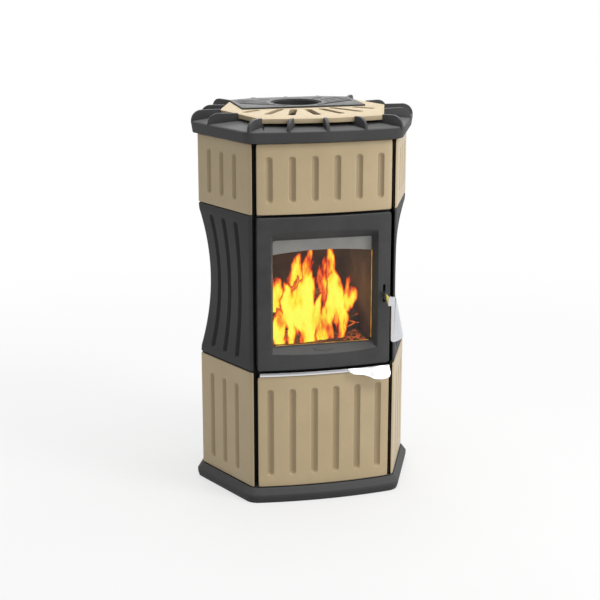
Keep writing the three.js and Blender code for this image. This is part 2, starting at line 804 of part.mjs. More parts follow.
// Grille: a cast plate around the flue with slanting slots on both sides.
function makeGrille() {
  const cut = [grilleFoot - 1, grilleTop + 1];
  const slab = prism(grilleOutline(0), [grilleFoot, grilleTop]);
  const flueHole = post(flueBore / 2 + flueWall + flueClearance, [0, flueDepth], cut, 32);
  const inside = flueBore / 2 + flueWall + grilleHub;
  const outside = grilleHalf - grilleEdge;
  const slots = [-1, 1].flatMap((side) => Array.from({ length: grilleSlots }, (_, i) => {
    const y = grilleEdge + i * grilleSlotPitch;
    const start = Math.max(inside - Math.abs(y - flueDepth) * 0.9, 12);
    const top = Math.min(y + (outside - start) * grilleSlotLean, grilleBackDepth - grilleEdge);
    const end = start + (top - y) / grilleSlotLean;
    const points = [[start, y], [end, top], [end, top + grilleSlotWidth], [start, y + grilleSlotWidth]];
    const placed = points.map(([px, py]) => [px * side, py]);
    return prism(side > 0 ? placed : placed.reverse(), cut);
  }));
  piece(body, 'top_grille', cutAll(slab, [flueHole, ...slots]), castIron);
}

// Flue collar: a spigot with a flange that sits on the firebox.
function makeFlueCollar() {
  const bore = flueBore / 2;
  const outer = bore + flueWall;
  const flangeFoot = shellTop + seat;
  const top = grilleTop - flueRise;
  const profile = [
    [bore, shellTop - flueTail],
    [outer, shellTop - flueTail],
    [outer, flangeFoot],
    [outer + flueFlange, flangeFoot],
    [outer + flueFlange, flangeFoot + flueFlangeWall],
    [outer, flangeFoot + flueFlangeWall],
    [outer, top],
    [bore, top],
    [bore, shellTop - flueTail],
  ].map(([r, z]) => new THREE.Vector2(r, z));
  const geometry = new THREE.LatheGeometry(profile, 24);
  geometry.rotateX(Math.PI / 2);
  geometry.translate(0, flueDepth, 0);
  piece(body, 'flue_collar', toSolid(geometry), blackSteel);
}

// Front frame: a steel plate behind the doors, with a ledge that carries the upper front tile.
function makeFrontFrame() {
  const front = -frameDepth;
  const through = [front - 1, front + sheetWall + 1];
  const plate = block([-frameHalf, frameHalf], [front, front + sheetWall], [lowerTileFoot, upperTileTop]);
  const ledge = block(
    [-panelHalf + 2, panelHalf - 2],
    [front - ledgeReach, front + 1],
    [ledgeFoot, ledgeTop],
  );
  const window = [fireDoorFoot + windowFrameFoot, fireDoorTop - windowFrameHead];
  const lower = [plinthHeight + lowerOpeningFoot, lowerOpeningTop];
  const latchX = handleX + latchWindowShift;
  const cutters = [
    block([-windowFrameHalf, windowFrameHalf], through, window),
    block([-lowerOpeningHalf, lowerOpeningHalf], through, lower),
    block(
      [latchX - latchWindowWidth / 2, latchX + latchWindowWidth / 2],
      through,
      [handleZ - latchWindowHeight / 2, handleZ + latchWindowHeight / 2],
    ),
    ...[-1, 1].map((side) => {
      const start = side * slideOffset - stemHalf - runningGap;
      const levels = [slideMiddle - stemHalf - runningGap, slideMiddle + stemHalf + runningGap];
      return block([start, start + 2 * (stemHalf + runningGap) + slideTravel], through, levels);
    }),
  ];
  piece(body, 'front_frame', cutAll(plate.add(ledge), cutters), blackSteel);
}

// Back panel: a steel sheet with two rows of vents.
function makeBackPanel() {
  const face = cornerDepth - backInset;
  const sheet = block([-backHalf, backHalf], [face - sheetWall, face], [lowerTileFoot, upperTileTop]);
  const rows = [lowerTileFoot + ventMargin, upperTileTop - ventMargin - ventHeight];
  const vents = rows.flatMap((foot) => Array.from({ length: ventCount }, (_, i) => {
    const x = (i - (ventCount - 1) / 2) * ventPitch;
    const across = [x - ventWidth / 2, x + ventWidth / 2];
    return block(across, [face - far, face + far], [foot, foot + ventHeight]);
  }));
  piece(body, 'back_panel', cutAll(sheet, vents), blackSteel);
}

// Lower cabinet: it holds up the firebox and has a shelf that the ash pan slides on.
function makeCabinet() {
  const front = -frameDepth + sheetWall + seat;
  const foot = lowerTileFoot;
  const top = shellFoot - seat;
  const outer = block([-cabinetHalf, cabinetHalf], [front, cabinetBack], [foot, top]);
  const wide = [-cabinetHalf + sheetWall, cabinetHalf - sheetWall];
  const deep = [front - 1, cabinetBack - sheetWall];
  const store = block(wide, deep, [foot + sheetWall, shelfTop - sheetWall]);
  const ash = block(wide, deep, [shelfTop, top + 1]);
  piece(body, 'lower_cabinet', cutAll(outer, [store, ash]), blackSteel);
}

// Firebox: a steel box with a narrower neck that reaches the front frame, and its lid.
function makeFireboxShell() {
  const front = -frameDepth + sheetWall + seat;
  const lidFoot = shellTop - shellWall;
  const levels = [shellFoot, lidFoot - seat];
  const inside = [shellFoot + shellWall, shellTop];
  const shell = joinAll([
    block([-shellHalf, shellHalf], [shellFront, shellBack], levels),
    block([-neckHalf, neckHalf], [front, shellFront + 1], levels),
  ]);
  const hollow = [
    block(
      [-shellHalf + shellWall, shellHalf - shellWall],
      [shellFront + shellWall, shellBack - shellWall],
      inside,
    ),
    block([-neckHalf + shellWall, neckHalf - shellWall], [front - 1, shellFront + shellWall + 1], inside),
    block(
      [-ashHoleHalf, ashHoleHalf],
      [-ashHoleDepth, ashHoleDepth],
      [shellFoot - 1, shellFoot + shellWall + 1],
    ),
  ];
  piece(body, 'firebox_shell', cutAll(shell, hollow), blackSteel);

  const lid = joinAll([
    block([-shellHalf, shellHalf], [shellFront, shellBack], [lidFoot, shellTop]),
    block([-neckHalf, neckHalf], [front, shellFront + 1], [lidFoot, shellTop]),
  ]);
  const flueHole = post(flueBore / 2 + flueWall + 1, [0, flueDepth], [lidFoot - 1, shellTop + 1], 32);
  piece(body, 'firebox_lid', lid.subtract(flueHole), blackSteel);
}

// Lining: floor, grate, three bricks and the baffle that rests on them.
function makeLining() {
  const wide = shellHalf - shellWall - seat;
  const front = shellFront + shellWall + seat;
  const back = shellBack - shellWall - seat;
  const floor = [shellFoot + shellWall + seat, shellFoot + shellWall + seat + floorWall];
  const slab = block([-wide, wide], [front, back], floor);
  const well = [
    block([-ashHoleHalf, ashHoleHalf], [-ashHoleDepth, ashHoleDepth], [floor[0] - 1, floor[1] + 1]),
    block(
      [-ashHoleHalf - grateLip, ashHoleHalf + grateLip],
      [-ashHoleDepth - grateLip, ashHoleDepth + grateLip],
      [floor[1] - grateWall, floor[1] + 1],
    ),
  ];
  piece(body, 'firebox_floor', cutAll(slab, well), firebrick);

  const grateHalf = ashHoleHalf + grateLip - gratePlay;
  const grateDepth = ashHoleDepth + grateLip - gratePlay;
  const grateLevels = [floor[1] - grateWall + seat, floor[1]];
  const grate = block([-grateHalf, grateHalf], [-grateDepth, grateDepth], grateLevels);
  const pitch = 2 * (ashHoleHalf - grateRim) / grateSlots;
  const slots = Array.from({ length: grateSlots }, (_, i) => {
    const x = (i - (grateSlots - 1) / 2) * pitch;
    const across = [x - grateSlotWidth / 2, x + grateSlotWidth / 2];
    return block(across, [-ashHoleDepth + grateRim, ashHoleDepth - grateRim], [floor[0], floor[1] + 1]);
  });
  piece(body, 'firebox_grate', cutAll(grate, slots), castIron);

  const bricks = [firebrickFoot, firebrickFoot + brickHeight];
  const sideBack = back - brickWall - seat;
  piece(body, 'brick_left', block([-wide, -brickInner], [front, sideBack], bricks), firebrick);
  piece(body, 'brick_right', block([brickInner, wide], [front, sideBack], bricks), firebrick);
  piece(body, 'brick_back', block([-wide, wide], [back - brickWall, back], bricks), firebrick);
  const baffle = [bricks[1] + seat, bricks[1] + seat + baffleWall];
  piece(body, 'baffle_plate', block([-wide, wide], [front + baffleSmokeGap, back], baffle), firebrick);

  const guardFront = -frameDepth + sheetWall + seat + 2;
  const guardFoot = shellFoot + shellWall + seat;
  const guard = block(
    [-logGuardHalf, logGuardHalf],
    [guardFront, guardFront + logGuardWall],
    [guardFoot, guardFoot + logGuardHeight],
  );
  const foot = block(
    [-logGuardHalf, logGuardHalf],
    [guardFront, front - seat],
    [guardFoot, guardFoot + logGuardWall],
  );
  piece(body, 'log_guard', guard.add(foot), castIron);
}

// The flaring cut that the window makes through the door.
function windowCutter() {
  const reach = cornerDepth + frontBow + 10 - glassDepth;
  const rect = (depth, y) => {
    const half = glassHalf + depth * bevelSide;
    const foot = glassCentreFoot - depth * bevelFoot;
    const head = glassHead + depth * bevelHead;
    return { y, corners: [[-half, foot], [half, foot], [half, head], [-half, head]] };
  };
  const sections = [rect(0, glassFront + 1), rect(reach, glassFront - reach)];
  const levels = sections.map(({ y, corners }) => ({ z: -y, points: corners }));
  const geometry = new THREE.BufferGeometry();
  const positions = levels.flatMap(({ points, z }) => points.flatMap(([x, up]) => [x, -z, up]));
  geometry.setAttribute('position', new THREE.BufferAttribute(new Float32Array(positions), 3));
  const sides = [0, 1, 2, 3].flatMap((i) => {
    const next = (i + 1) % 4;
    return [i, next, next + 4, i, next + 4, i + 4];
  });
  geometry.setIndex([...sides, 0, 2, 1, 0, 3, 2, 4, 5, 6, 4, 6, 7]);
  return toSolid(geometry);
}

// A square frame of [x, z] size, cut from a slab between two y values.
function squareFrame([inner, innerFoot, innerHead], width, depths) {
  const outside = block([-inner - width, inner + width], depths, [innerFoot - width, innerHead + width]);
  const inside = block([-inner, inner], [depths[0] - 1, depths[1] + 1], [innerFoot, innerHead]);
  return outside.subtract(inside);
}

// Fire door: a bowed cast frame around the glass, with a rope seal at its back.
function makeFireDoor() {
  const levels = [fireDoorFoot, fireDoorTop];
  const slab = prism(stoveOutline(0), levels).intersect(
    block([-panelHalf, panelHalf], [-far, doorBackY], levels),
  );
  const paneHalf = glassHalf + glassLap;
  const panePocket = paneHalf + glassPlay;
  const pocket = block(
    [-panePocket, panePocket],
    [glassFront - runningGap, doorBackY + 1],
    [glassCentreFoot - glassLap - glassPlay, glassHead + glassLap + glassPlay],
  );
  const sealInner = panePocket + sealOffset;
  const sealFoot = glassCentreFoot - glassLap - glassPlay - sealOffset;
  const sealHead = glassHead + glassLap + glassPlay + sealOffset;
  const sealBack = -frameDepth - seat;
  const sealDepths = [sealBack - sealHeight, sealBack];
  const sealRing = squareFrame([sealInner, sealFoot, sealHead], sealWidth, sealDepths);
  const sealGroove = squareFrame(
    [sealInner - runningGap, sealFoot + runningGap, sealHead - runningGap],
    sealWidth + 2 * runningGap,
    [sealBack - sealHeight - seat, doorBackY + 1],
  );
  const pinBores = [
    post(pinRadius + pinPlay, [hingeX, hingeY], [fireDoorFoot - 1, fireDoorFoot + pinLength + 2]),
    post(pinRadius + pinPlay, [hingeX, hingeY], [fireDoorTop - pinLength - 2, fireDoorTop + 1]),
  ];
  const slotHalf = handleSlotWidth / 2;
  const handleSlot = block(
    [handleX - slotHalf, handleX + slotHalf],
    [-far, doorBackY + 1],
    [fireDoorFoot + handleSlotFoot, fireDoorFoot + handleSlotHead],
  );
  const pivotAcross = [handleX - pivotHalf - 1, panelHalf + 1];
  const pivotBore = crossBar(pinRadius + pinPlay, pivotAcross, [pivotY, handleZ]);
  const cutters = [windowCutter(), pocket, sealGroove, ...pinBores, handleSlot, pivotBore];
  piece(fireDoor, 'fire_door_frame', cutAll(slab, cutters), castIron);
  piece(fireDoor, 'door_seal', sealRing, rope);

  const pane = [glassFront, glassFront + glassWall];
  piece(
    fireDoor,
    'door_glass',
    block([-paneHalf, paneHalf], pane, [glassCentreFoot - glassLap, glassHead + glassLap]),
    glass,
  );
  makeRetainers(paneHalf, pane[1] + seat);
}

// Steel strips that hold the glass; the upper one hangs down in an arch as the air-wash guide.
function makeRetainers(paneHalf, depth) {
  const depths = [depth, depth + retainerWall];
  const foot = glassCentreFoot - glassLap;
  const head = glassHead + glassLap;
  const arch = Array.from({ length: airWashSteps + 1 }, (_, i) => {
    const share = 2 * i / airWashSteps - 1;
    return [paneHalf * share, glassHead - airWashDrop + airWashArch * (1 - share * share)];
  });
  const top = frontPlate([...arch, [paneHalf, head], [-paneHalf, head]], depths);
  piece(fireDoor, 'glass_retainer_top', top, greySteel);
  const sideLevels = [foot + glassLap + seat, glassHead - airWashDrop - seat];
  piece(
    fireDoor,
    'glass_retainer_bottom',
    block([-paneHalf, paneHalf], depths, [foot, foot + glassLap]),
    blackSteel,
  );
  piece(fireDoor, 'glass_retainer_left', block([-paneHalf, -glassHalf], depths, sideLevels), blackSteel);
  piece(fireDoor, 'glass_retainer_right', block([glassHalf, paneHalf], depths, sideLevels), blackSteel);
}

// Handle: a lever that turns on a pin in the door, with a latch arm inside and a leaf outside.
function makeHandle() {
  const across = [handleX - leverWall / 2, handleX + leverWall / 2];
  const top = handleZ + leverTop;
  const tip = pivotY - leverReach;
  const back = pivotY + latchReach;
  const half = latchHeight / 2;
  const hub = crossBar(leverHub, across, [pivotY, handleZ], 16);
  const web = sidePlate([
    [pivotY, top + 4],
    [tip, top],
    [tip, top - leverWeb],
    [pivotY, handleZ - leverHub + 0.5],
  ], across);
  const latch = block(across, [pivotY, back], [handleZ - half, handleZ + half]);
  const bore = crossBar(pinRadius + pinPlay, [across[0] - 1, across[1] + 1], [pivotY, handleZ]);
  piece(handle, 'door_lever', joinAll([hub, web, latch]).subtract(bore), chrome);

  const leafLeft = handleX - leverWall / 2 - leafOverhang;
  const stem = leafLeft + leafNotch;
  const leafFoot = top - leafLength;
  const notch = top - leverWeb;
  const leaf = frontPlate([
    [leafLeft, notch],
    [stem, notch],
    [stem, leafFoot + leafCorner],
    [stem + leafCorner * 2 / 3, leafFoot],
    [stem + leafFootWidth * 0.6, leafFoot + leafSag],
    [stem + leafFootWidth - leafChamfer, leafFoot + leafToeFoot],
    [stem + leafFootWidth - leafChamfer / 3, leafFoot + leafToeHead],
    [leafLeft + leafTopWidth, top - leafRound],
    [leafLeft + leafTopWidth - leafChamfer, top - leafChamfer],
    [leafLeft + leafTopWidth - leafRound, top],
    [leafLeft + leafTip, top],
    [leafLeft, top - leafTip],
  ], [tip - seat - leafWall, tip - seat]);
  piece(handle, 'handle_leaf', leaf, chrome);
  const pin = crossBar(pinRadius, [handleX - pivotHalf, panelHalf - 1], [pivotY, handleZ]);
  piece(fireDoor, 'handle_pin', pin, blackSteel);

  const keeperFoot = handleZ + half + keeperGap;
  const keeperFront = -frameDepth + sheetWall + seat;
  const keeper = block(
    [handleX - keeperWidth / 2, handleX + keeperWidth / 2],
    [keeperFront, keeperFront + keeperWall],
    [keeperFoot, keeperFoot + keeperHeight],
  );
  piece(body, 'latch_keeper', keeper, blackSteel);
}

// Hinges: pins on brackets that stand out from the front frame on one vertical axis.
function makeHinges() {
  const axis = [hingeX, hingeY];
  const across = [hingeX - washerRadius, hingeX + washerRadius];
  const reach = [hingeY, -frameDepth - seat];
  const upper = post(pinRadius, axis, [fireDoorTop - pinLength, ledgeFoot - seat]);
  piece(body, 'hinge_pin_upper', upper, blackSteel);

  const plateHead = fireDoorFoot - seat;
  const middle = joinAll([
    block(across, reach, [plateHead - bracketWall, plateHead]),
    post(washerRadius, axis, [plateHead - bracketWall, plateHead], 16),
    post(pinRadius, axis, [plateHead - 1, fireDoorFoot + pinLength]),
    post(pinRadius, axis, [trimTop - pinLength, plateHead - 1]),
  ]);
  piece(body, 'hinge_bracket_middle', middle, blackSteel);

  const foot = plinthHeight + seat;
  const lower = joinAll([
    block(across, reach, [foot, foot + bracketWall]),
    post(washerRadius, axis, [foot, foot + bracketWall + washerHeight], 16),
    post(pinRadius, axis, [foot + 1, foot + bracketWall + washerHeight + pinLength]),
  ]);
  piece(body, 'hinge_bracket_lower', lower, blackSteel);
}

// Lower door: a steel panel that carries a tile and the chrome strip with its pull tab.
function makeLowerDoor() {
  const tabFoot = plinthHeight + seat + bracketWall + washerHeight + seat;
  const sheetFront = lowerSheetFront;
  const wide = [-panelHalf + lowerSheetInset, panelHalf - lowerSheetInset];
  const railFoot = lowerDoorTileTop + seat;
  const sheet = block(wide, [sheetFront, sheetFront + sheetWall], [tabFoot, trimTop - seat]);
  const railFront = frontY(panelHalf) + trimBack + 3 * seat;
  const rail = block(wide, [railFront, sheetFront + 1], [railFoot, railFoot + hingeTabWall]);
  const foot = block(
    [hingeX - bracketHalf, hingeX + bracketHalf],
    [hingeY - washerRadius, sheetFront + 1],
    [tabFoot, tabFoot + hingeTabWall],
  );
  const bores = [
    post(pinRadius + pinPlay, [hingeX, hingeY], [tabFoot - 1, tabFoot + pinLength + 1]),
    post(pinRadius + pinPlay, [hingeX, hingeY], [trimTop - pinLength - 2, trimTop + 1]),
  ];
  piece(lowerDoor, 'lower_door_panel', cutAll(joinAll([sheet, rail, foot]), bores), blackSteel);

  const levels = [lowerDoorFoot, lowerDoorTileTop];
  const slab = stoveRing(0, -tileWall, levels).intersect(frontSector(levels));
  const hingeNotch = block(
    [-far, hingeX + bracketHalf + 2],
    [hingeY - washerRadius - notchPlay, 0],
    [lowerDoorFoot - 1, tabFoot + pinLength + 2],
  );
  const pinNotch = block(
    [hingeX - pinRadius - 1, hingeX + pinRadius + 1],
    [hingeY - pinRadius - 1, 0],
    [trimTop - pinLength - 1, lowerDoorTileTop + 1],
  );
  const grooves = frontGrooveCutters(lowerDoorFoot + tileGrooveFoot, lowerDoorTileTop - tileGrooveHead - 2);
  piece(lowerDoor, 'lower_door_tile', cutAll(slab, [hingeNotch, pinNotch, ...grooves]), glaze);
  makeTrim();
}

// Chrome strip along the top of the lower door, with a flared leaf at its right end to pull.
function makeTrim() {
  const levels = [trimFoot, trimTop];
  const strip = stoveRing(trimProud, -trimBack, levels).intersect(
    block([-panelHalf + trimInset, panelHalf], [-far, -cornerDepth / 2], levels),
  );
  const flangeFoot = trimFoot + hingeTabWall;
  const flangeLevels = [flangeFoot, flangeFoot + trimFlange];
  const flange = prism(stoveOutline(0), flangeLevels).intersect(
    block([hingeX + bracketHalf + 4, panelHalf - 2], [-far, lowerSheetFront - seat], flangeLevels),
  );
  const width = panelHalf - 3 - tabStart;
  const shares = [[0, 0.1], [0.12, 0.28], [0.35, 0.42], [0.56, 0.78], [0.75, 0.97], [0.93, 0.9], [1, 0.7]];
  const rows = shares.map(([along, drop]) => ({ x: tabStart + width * along, drop: tabDrop * drop }));
  const skin = rows.flatMap(({ x, drop }) => {
    const y = frontY(x) - trimProud;
    const out = y - trimProud / 2 - tabReach * Math.min(1, drop / (tabDrop * 0.6));
    const low = trimTop - tabRoot - tabWall - drop;
    const root = trimTop - tabRoot;
    return [[x, y + 3, root - tabWall], [x, y + 3, root], [x, out, low + tabWall * 0.6], [x, out, low]];
  });
  const index = [];
  for (let row = 0; row + 1 < rows.length; row += 1) {
    for (let i = 0; i < 4; i += 1) {
      const a = row * 4 + i;
      const b = row * 4 + (i + 1) % 4;
      index.push(a, b, b + 4, a, b + 4, a + 4);
    }
  }
  const end = (rows.length - 1) * 4;
  index.push(0, 2, 1, 0, 3, 2, end, end + 1, end + 2, end, end + 2, end + 3);
  const geometry = new THREE.BufferGeometry();
  geometry.setAttribute('position', new THREE.BufferAttribute(new Float32Array(skin.flat()), 3));
  geometry.setIndex(index);
  piece(lowerDoor, 'lower_door_trim', joinAll([strip, flange, toSolid(geometry)]), chrome);
}

// A block on the frame that the lower door's panel closes against.
function makeCatch() {
  const z = (lowerDoorFoot + lowerDoorTileTop) / 2;
  const right = panelHalf - 4;
  const depths = [lowerSheetFront + sheetWall + seat, -frameDepth - seat];
  const magnet = block([right - catchSize, right], depths, [z - catchSize, z + catchSize]);
  piece(body, 'door_catch', magnet, blackSteel);
}

// Ash pan: an open tray with a bail-shaped grip on its front.
function makeAshPan() {
  const levels = [panFoot, panFoot + panHeight];
  const tray = block([-panHalf, panHalf], [-panFront, panBack], levels);
  const hollow = block(
    [-panHalf + panWall, panHalf - panWall],
    [-panFront + panWall, panBack - panWall],
    [panFoot + panWall, levels[1] + 1],
  );
  const middle = (levels[0] + levels[1]) / 2;
  const bar = [middle - panGripBar / 2, middle + panGripBar / 2];
  const grip = block([-panGripHalf, panGripHalf], [-panFront - panGripReach, -panFront + 1], bar);
  const finger = block(
    [-panGripHalf + panGripBar, panGripHalf - panGripBar],
    [-panFront - panGripReach + panGripBar, -panFront - 0.01],
    [bar[0] - 1, bar[1] + 1],
  );
  piece(lowerDoor, 'ash_pan', tray.subtract(hollow).add(grip.subtract(finger)), greySteel);
}

// Air slides: two plates in guides behind the front frame, each with a knob in its slot.
function makeAirSlides() {
  const depth = -frameDepth + sheetWall + seat;
  const foot = slideMiddle - slideHeight / 2;
  const head = slideMiddle + slideHeight / 2;
  const names = [[-1, 'primary_air_slide'], [1, 'secondary_air_slide']];
  names.forEach(([side, name]) => {
    const x = side * slideOffset;
    const plate = block([x - slideWidth / 2, x + slideWidth / 2], [depth, depth + slideWall], [foot, head]);
    const stem = block(
      [x - stemHalf, x + stemHalf],
      [-frameDepth - knobReach / 2, depth + 1],
      [slideMiddle - stemHalf, slideMiddle + stemHalf],
    );
    const geometry = new THREE.CylinderGeometry(knobRadius, knobRadius, knobReach - 4, 16);
    geometry.translate(x, -frameDepth - knobReach / 2 - 1.5, slideMiddle);
    piece(airControls, name, joinAll([plate, stem, toSolid(geometry)]), blackSteel);
  });
  const reach = slideOffset + slideTravel + slideWidth / 2 + 6;
  const guide = (name, levels) => {
    piece(body, name, block([-reach, reach], [depth, depth + guideWall], levels), blackSteel);
  };
  guide('air_guide_lower', [foot - runningGap - guideHeight, foot - runningGap]);
  guide('air_guide_upper', [head + runningGap, head + runningGap + guideHeight]);
}

makePlinth();
makeSide(-1, 'left');
makeSide(1, 'right');
makeUpperFrontTile();
makeFrontFrame();
makeBackPanel();
makeCabinet();
makeFireboxShell();
makeLining();
makeTopCasting();
makeTopPlate();
makeGrille();
makeFlueCollar();
makeHinges();
makeFireDoor();
makeHandle();
makeLowerDoor();
makeCatch();
makeAshPan();
makeAirSlides();

export default stove;
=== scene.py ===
"""Looks of a free-standing tiled stove: fine surfaces, finishes, fire, lamps and camera.

Sizes are in millimetres in the stove's own frame: +Z up, the front faces -Y, and the origin lies
on the floor under its middle. A mesh becomes metres when it is published.
"""

from __future__ import annotations

import functools
import json
import logging
import math
from collections.abc import Callable, Iterable, Sequence
from dataclasses import dataclass
from enum import Enum

import bmesh
import bpy
from mathutils import Matrix, Vector, noise


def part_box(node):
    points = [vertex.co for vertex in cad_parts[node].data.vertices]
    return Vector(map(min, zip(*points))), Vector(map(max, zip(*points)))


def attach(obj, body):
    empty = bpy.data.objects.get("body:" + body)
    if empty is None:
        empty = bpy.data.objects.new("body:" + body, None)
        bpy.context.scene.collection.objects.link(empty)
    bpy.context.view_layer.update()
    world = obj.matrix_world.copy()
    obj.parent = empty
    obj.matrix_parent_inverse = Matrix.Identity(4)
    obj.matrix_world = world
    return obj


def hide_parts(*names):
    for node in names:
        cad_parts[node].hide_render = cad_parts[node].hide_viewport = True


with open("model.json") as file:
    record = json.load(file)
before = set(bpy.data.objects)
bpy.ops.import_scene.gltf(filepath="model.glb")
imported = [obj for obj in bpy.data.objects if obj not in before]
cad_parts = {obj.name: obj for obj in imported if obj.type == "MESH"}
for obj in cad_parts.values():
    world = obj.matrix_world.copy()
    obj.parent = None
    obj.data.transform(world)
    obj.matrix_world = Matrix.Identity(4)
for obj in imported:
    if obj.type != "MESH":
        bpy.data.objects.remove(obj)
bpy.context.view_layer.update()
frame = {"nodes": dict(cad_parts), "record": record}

LOG = logging.getLogger("stove")
MM = 0.001
# Near-black colour of painted shade on rims, joint ledges, slot walls and the foot of the sill
# oval.
SHADE = (0.005, 0.005, 0.005)
SMOOTH_LIMIT = math.radians(32)
BEVEL_LIMIT = math.radians(40)
STATIONS = ("across", "along")
STEP = 0.05  # half width of a sudden step in the back of a panel
CUT = 5.0  # how far a cutter reaches past what it cuts
SEAT = 0.3  # gap between two solids that meet
Place = Callable[[float, float, bool], Vector]
Mesh = bmesh.types.BMesh
Material = bpy.types.Material
Pair = tuple[float, float]
Triple = tuple[float, float, float]
Colour = Triple


class Side(Enum):
    """The two sides of the stove, as seen from the front."""

    LEFT = -1
    RIGHT = 1

    @property
    def word(self) -> str:
        """Name of the side in node names."""
        return self.name.lower()


class Body(Enum):
    """Moving bodies of the stove."""

    ROOT = "root"
    FIRE_DOOR = "fire_door"
    HANDLE = "door_handle"
    LOWER_DOOR = "lower_door"


def srgb(red: int, green: int, blue: int) -> Colour:
    """Turns a screen colour, 0 to 255, into the linear values that shaders take."""
    shares = (value / 255 for value in (red, green, blue))
    return tuple(c / 12.92 if c <= 0.04045 else ((c + 0.055) / 1.055) ** 2.4 for c in shares)


@functools.cache
def level(node: str, top: bool) -> float:
    """Foot or top of a CAD node, in millimetres."""
    low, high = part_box(node)
    return (high if top else low).z / MM


def span(node: str) -> Pair:
    """Foot and top of a CAD node, in millimetres."""
    return level(node, False), level(node, True)


def unit(angle: float) -> Vector:
    """The level direction at an angle."""
    return Vector((math.cos(angle), math.sin(angle)))


def show(name: str, data: bpy.types.ID) -> bpy.types.Object:
    """Makes an object of some data and adds it to the scene.

    Args:
        name: the object's name.
        data: its mesh, lamp or camera.

    Returns:
        The object.
    """
    item = bpy.data.objects.new(name, data)
    bpy.context.scene.collection.objects.link(item)
    return item


# ---- Shader arithmetic ----


class Signal:
    """A number that changes over a surface, in Python arithmetic."""

    def __init__(self, sheet: Sheet, socket: bpy.types.NodeSocket) -> None:
        """Wraps a socket of the sheet's tree."""
        self.sheet = sheet
        self.socket = socket

    def _math(self, operation: str, first: object, second: object) -> Signal:
        """Adds one Math node.

        Args:
            operation: the node's operation.
            first: signal or number of its first input.
            second: signal or number of its second input.

        Returns:
            The node's result.
        """
        return self.sheet.call("ShaderNodeMath", {"operation": operation}, {0: first, 1: second})

    def __add__(self, other: object) -> Signal:
        """Sum."""
        return self._math("ADD", self, other)

    def __radd__(self, other: object) -> Signal:
        """Sum with a number on the left."""
        return self._math("ADD", other, self)

    def __sub__(self, other: object) -> Signal:
        """Difference."""
        return self._math("SUBTRACT", self, other)

    def __rsub__(self, other: object) -> Signal:
        """Difference from a number on the left."""
        return self._math("SUBTRACT", other, self)

    def __mul__(self, other: object) -> Signal:
        """Product."""
        return self._math("MULTIPLY", self, other)

    def larger(self, other: Signal) -> Signal:
        """The larger of two signals."""
        return self._math("MAXIMUM", self, other)


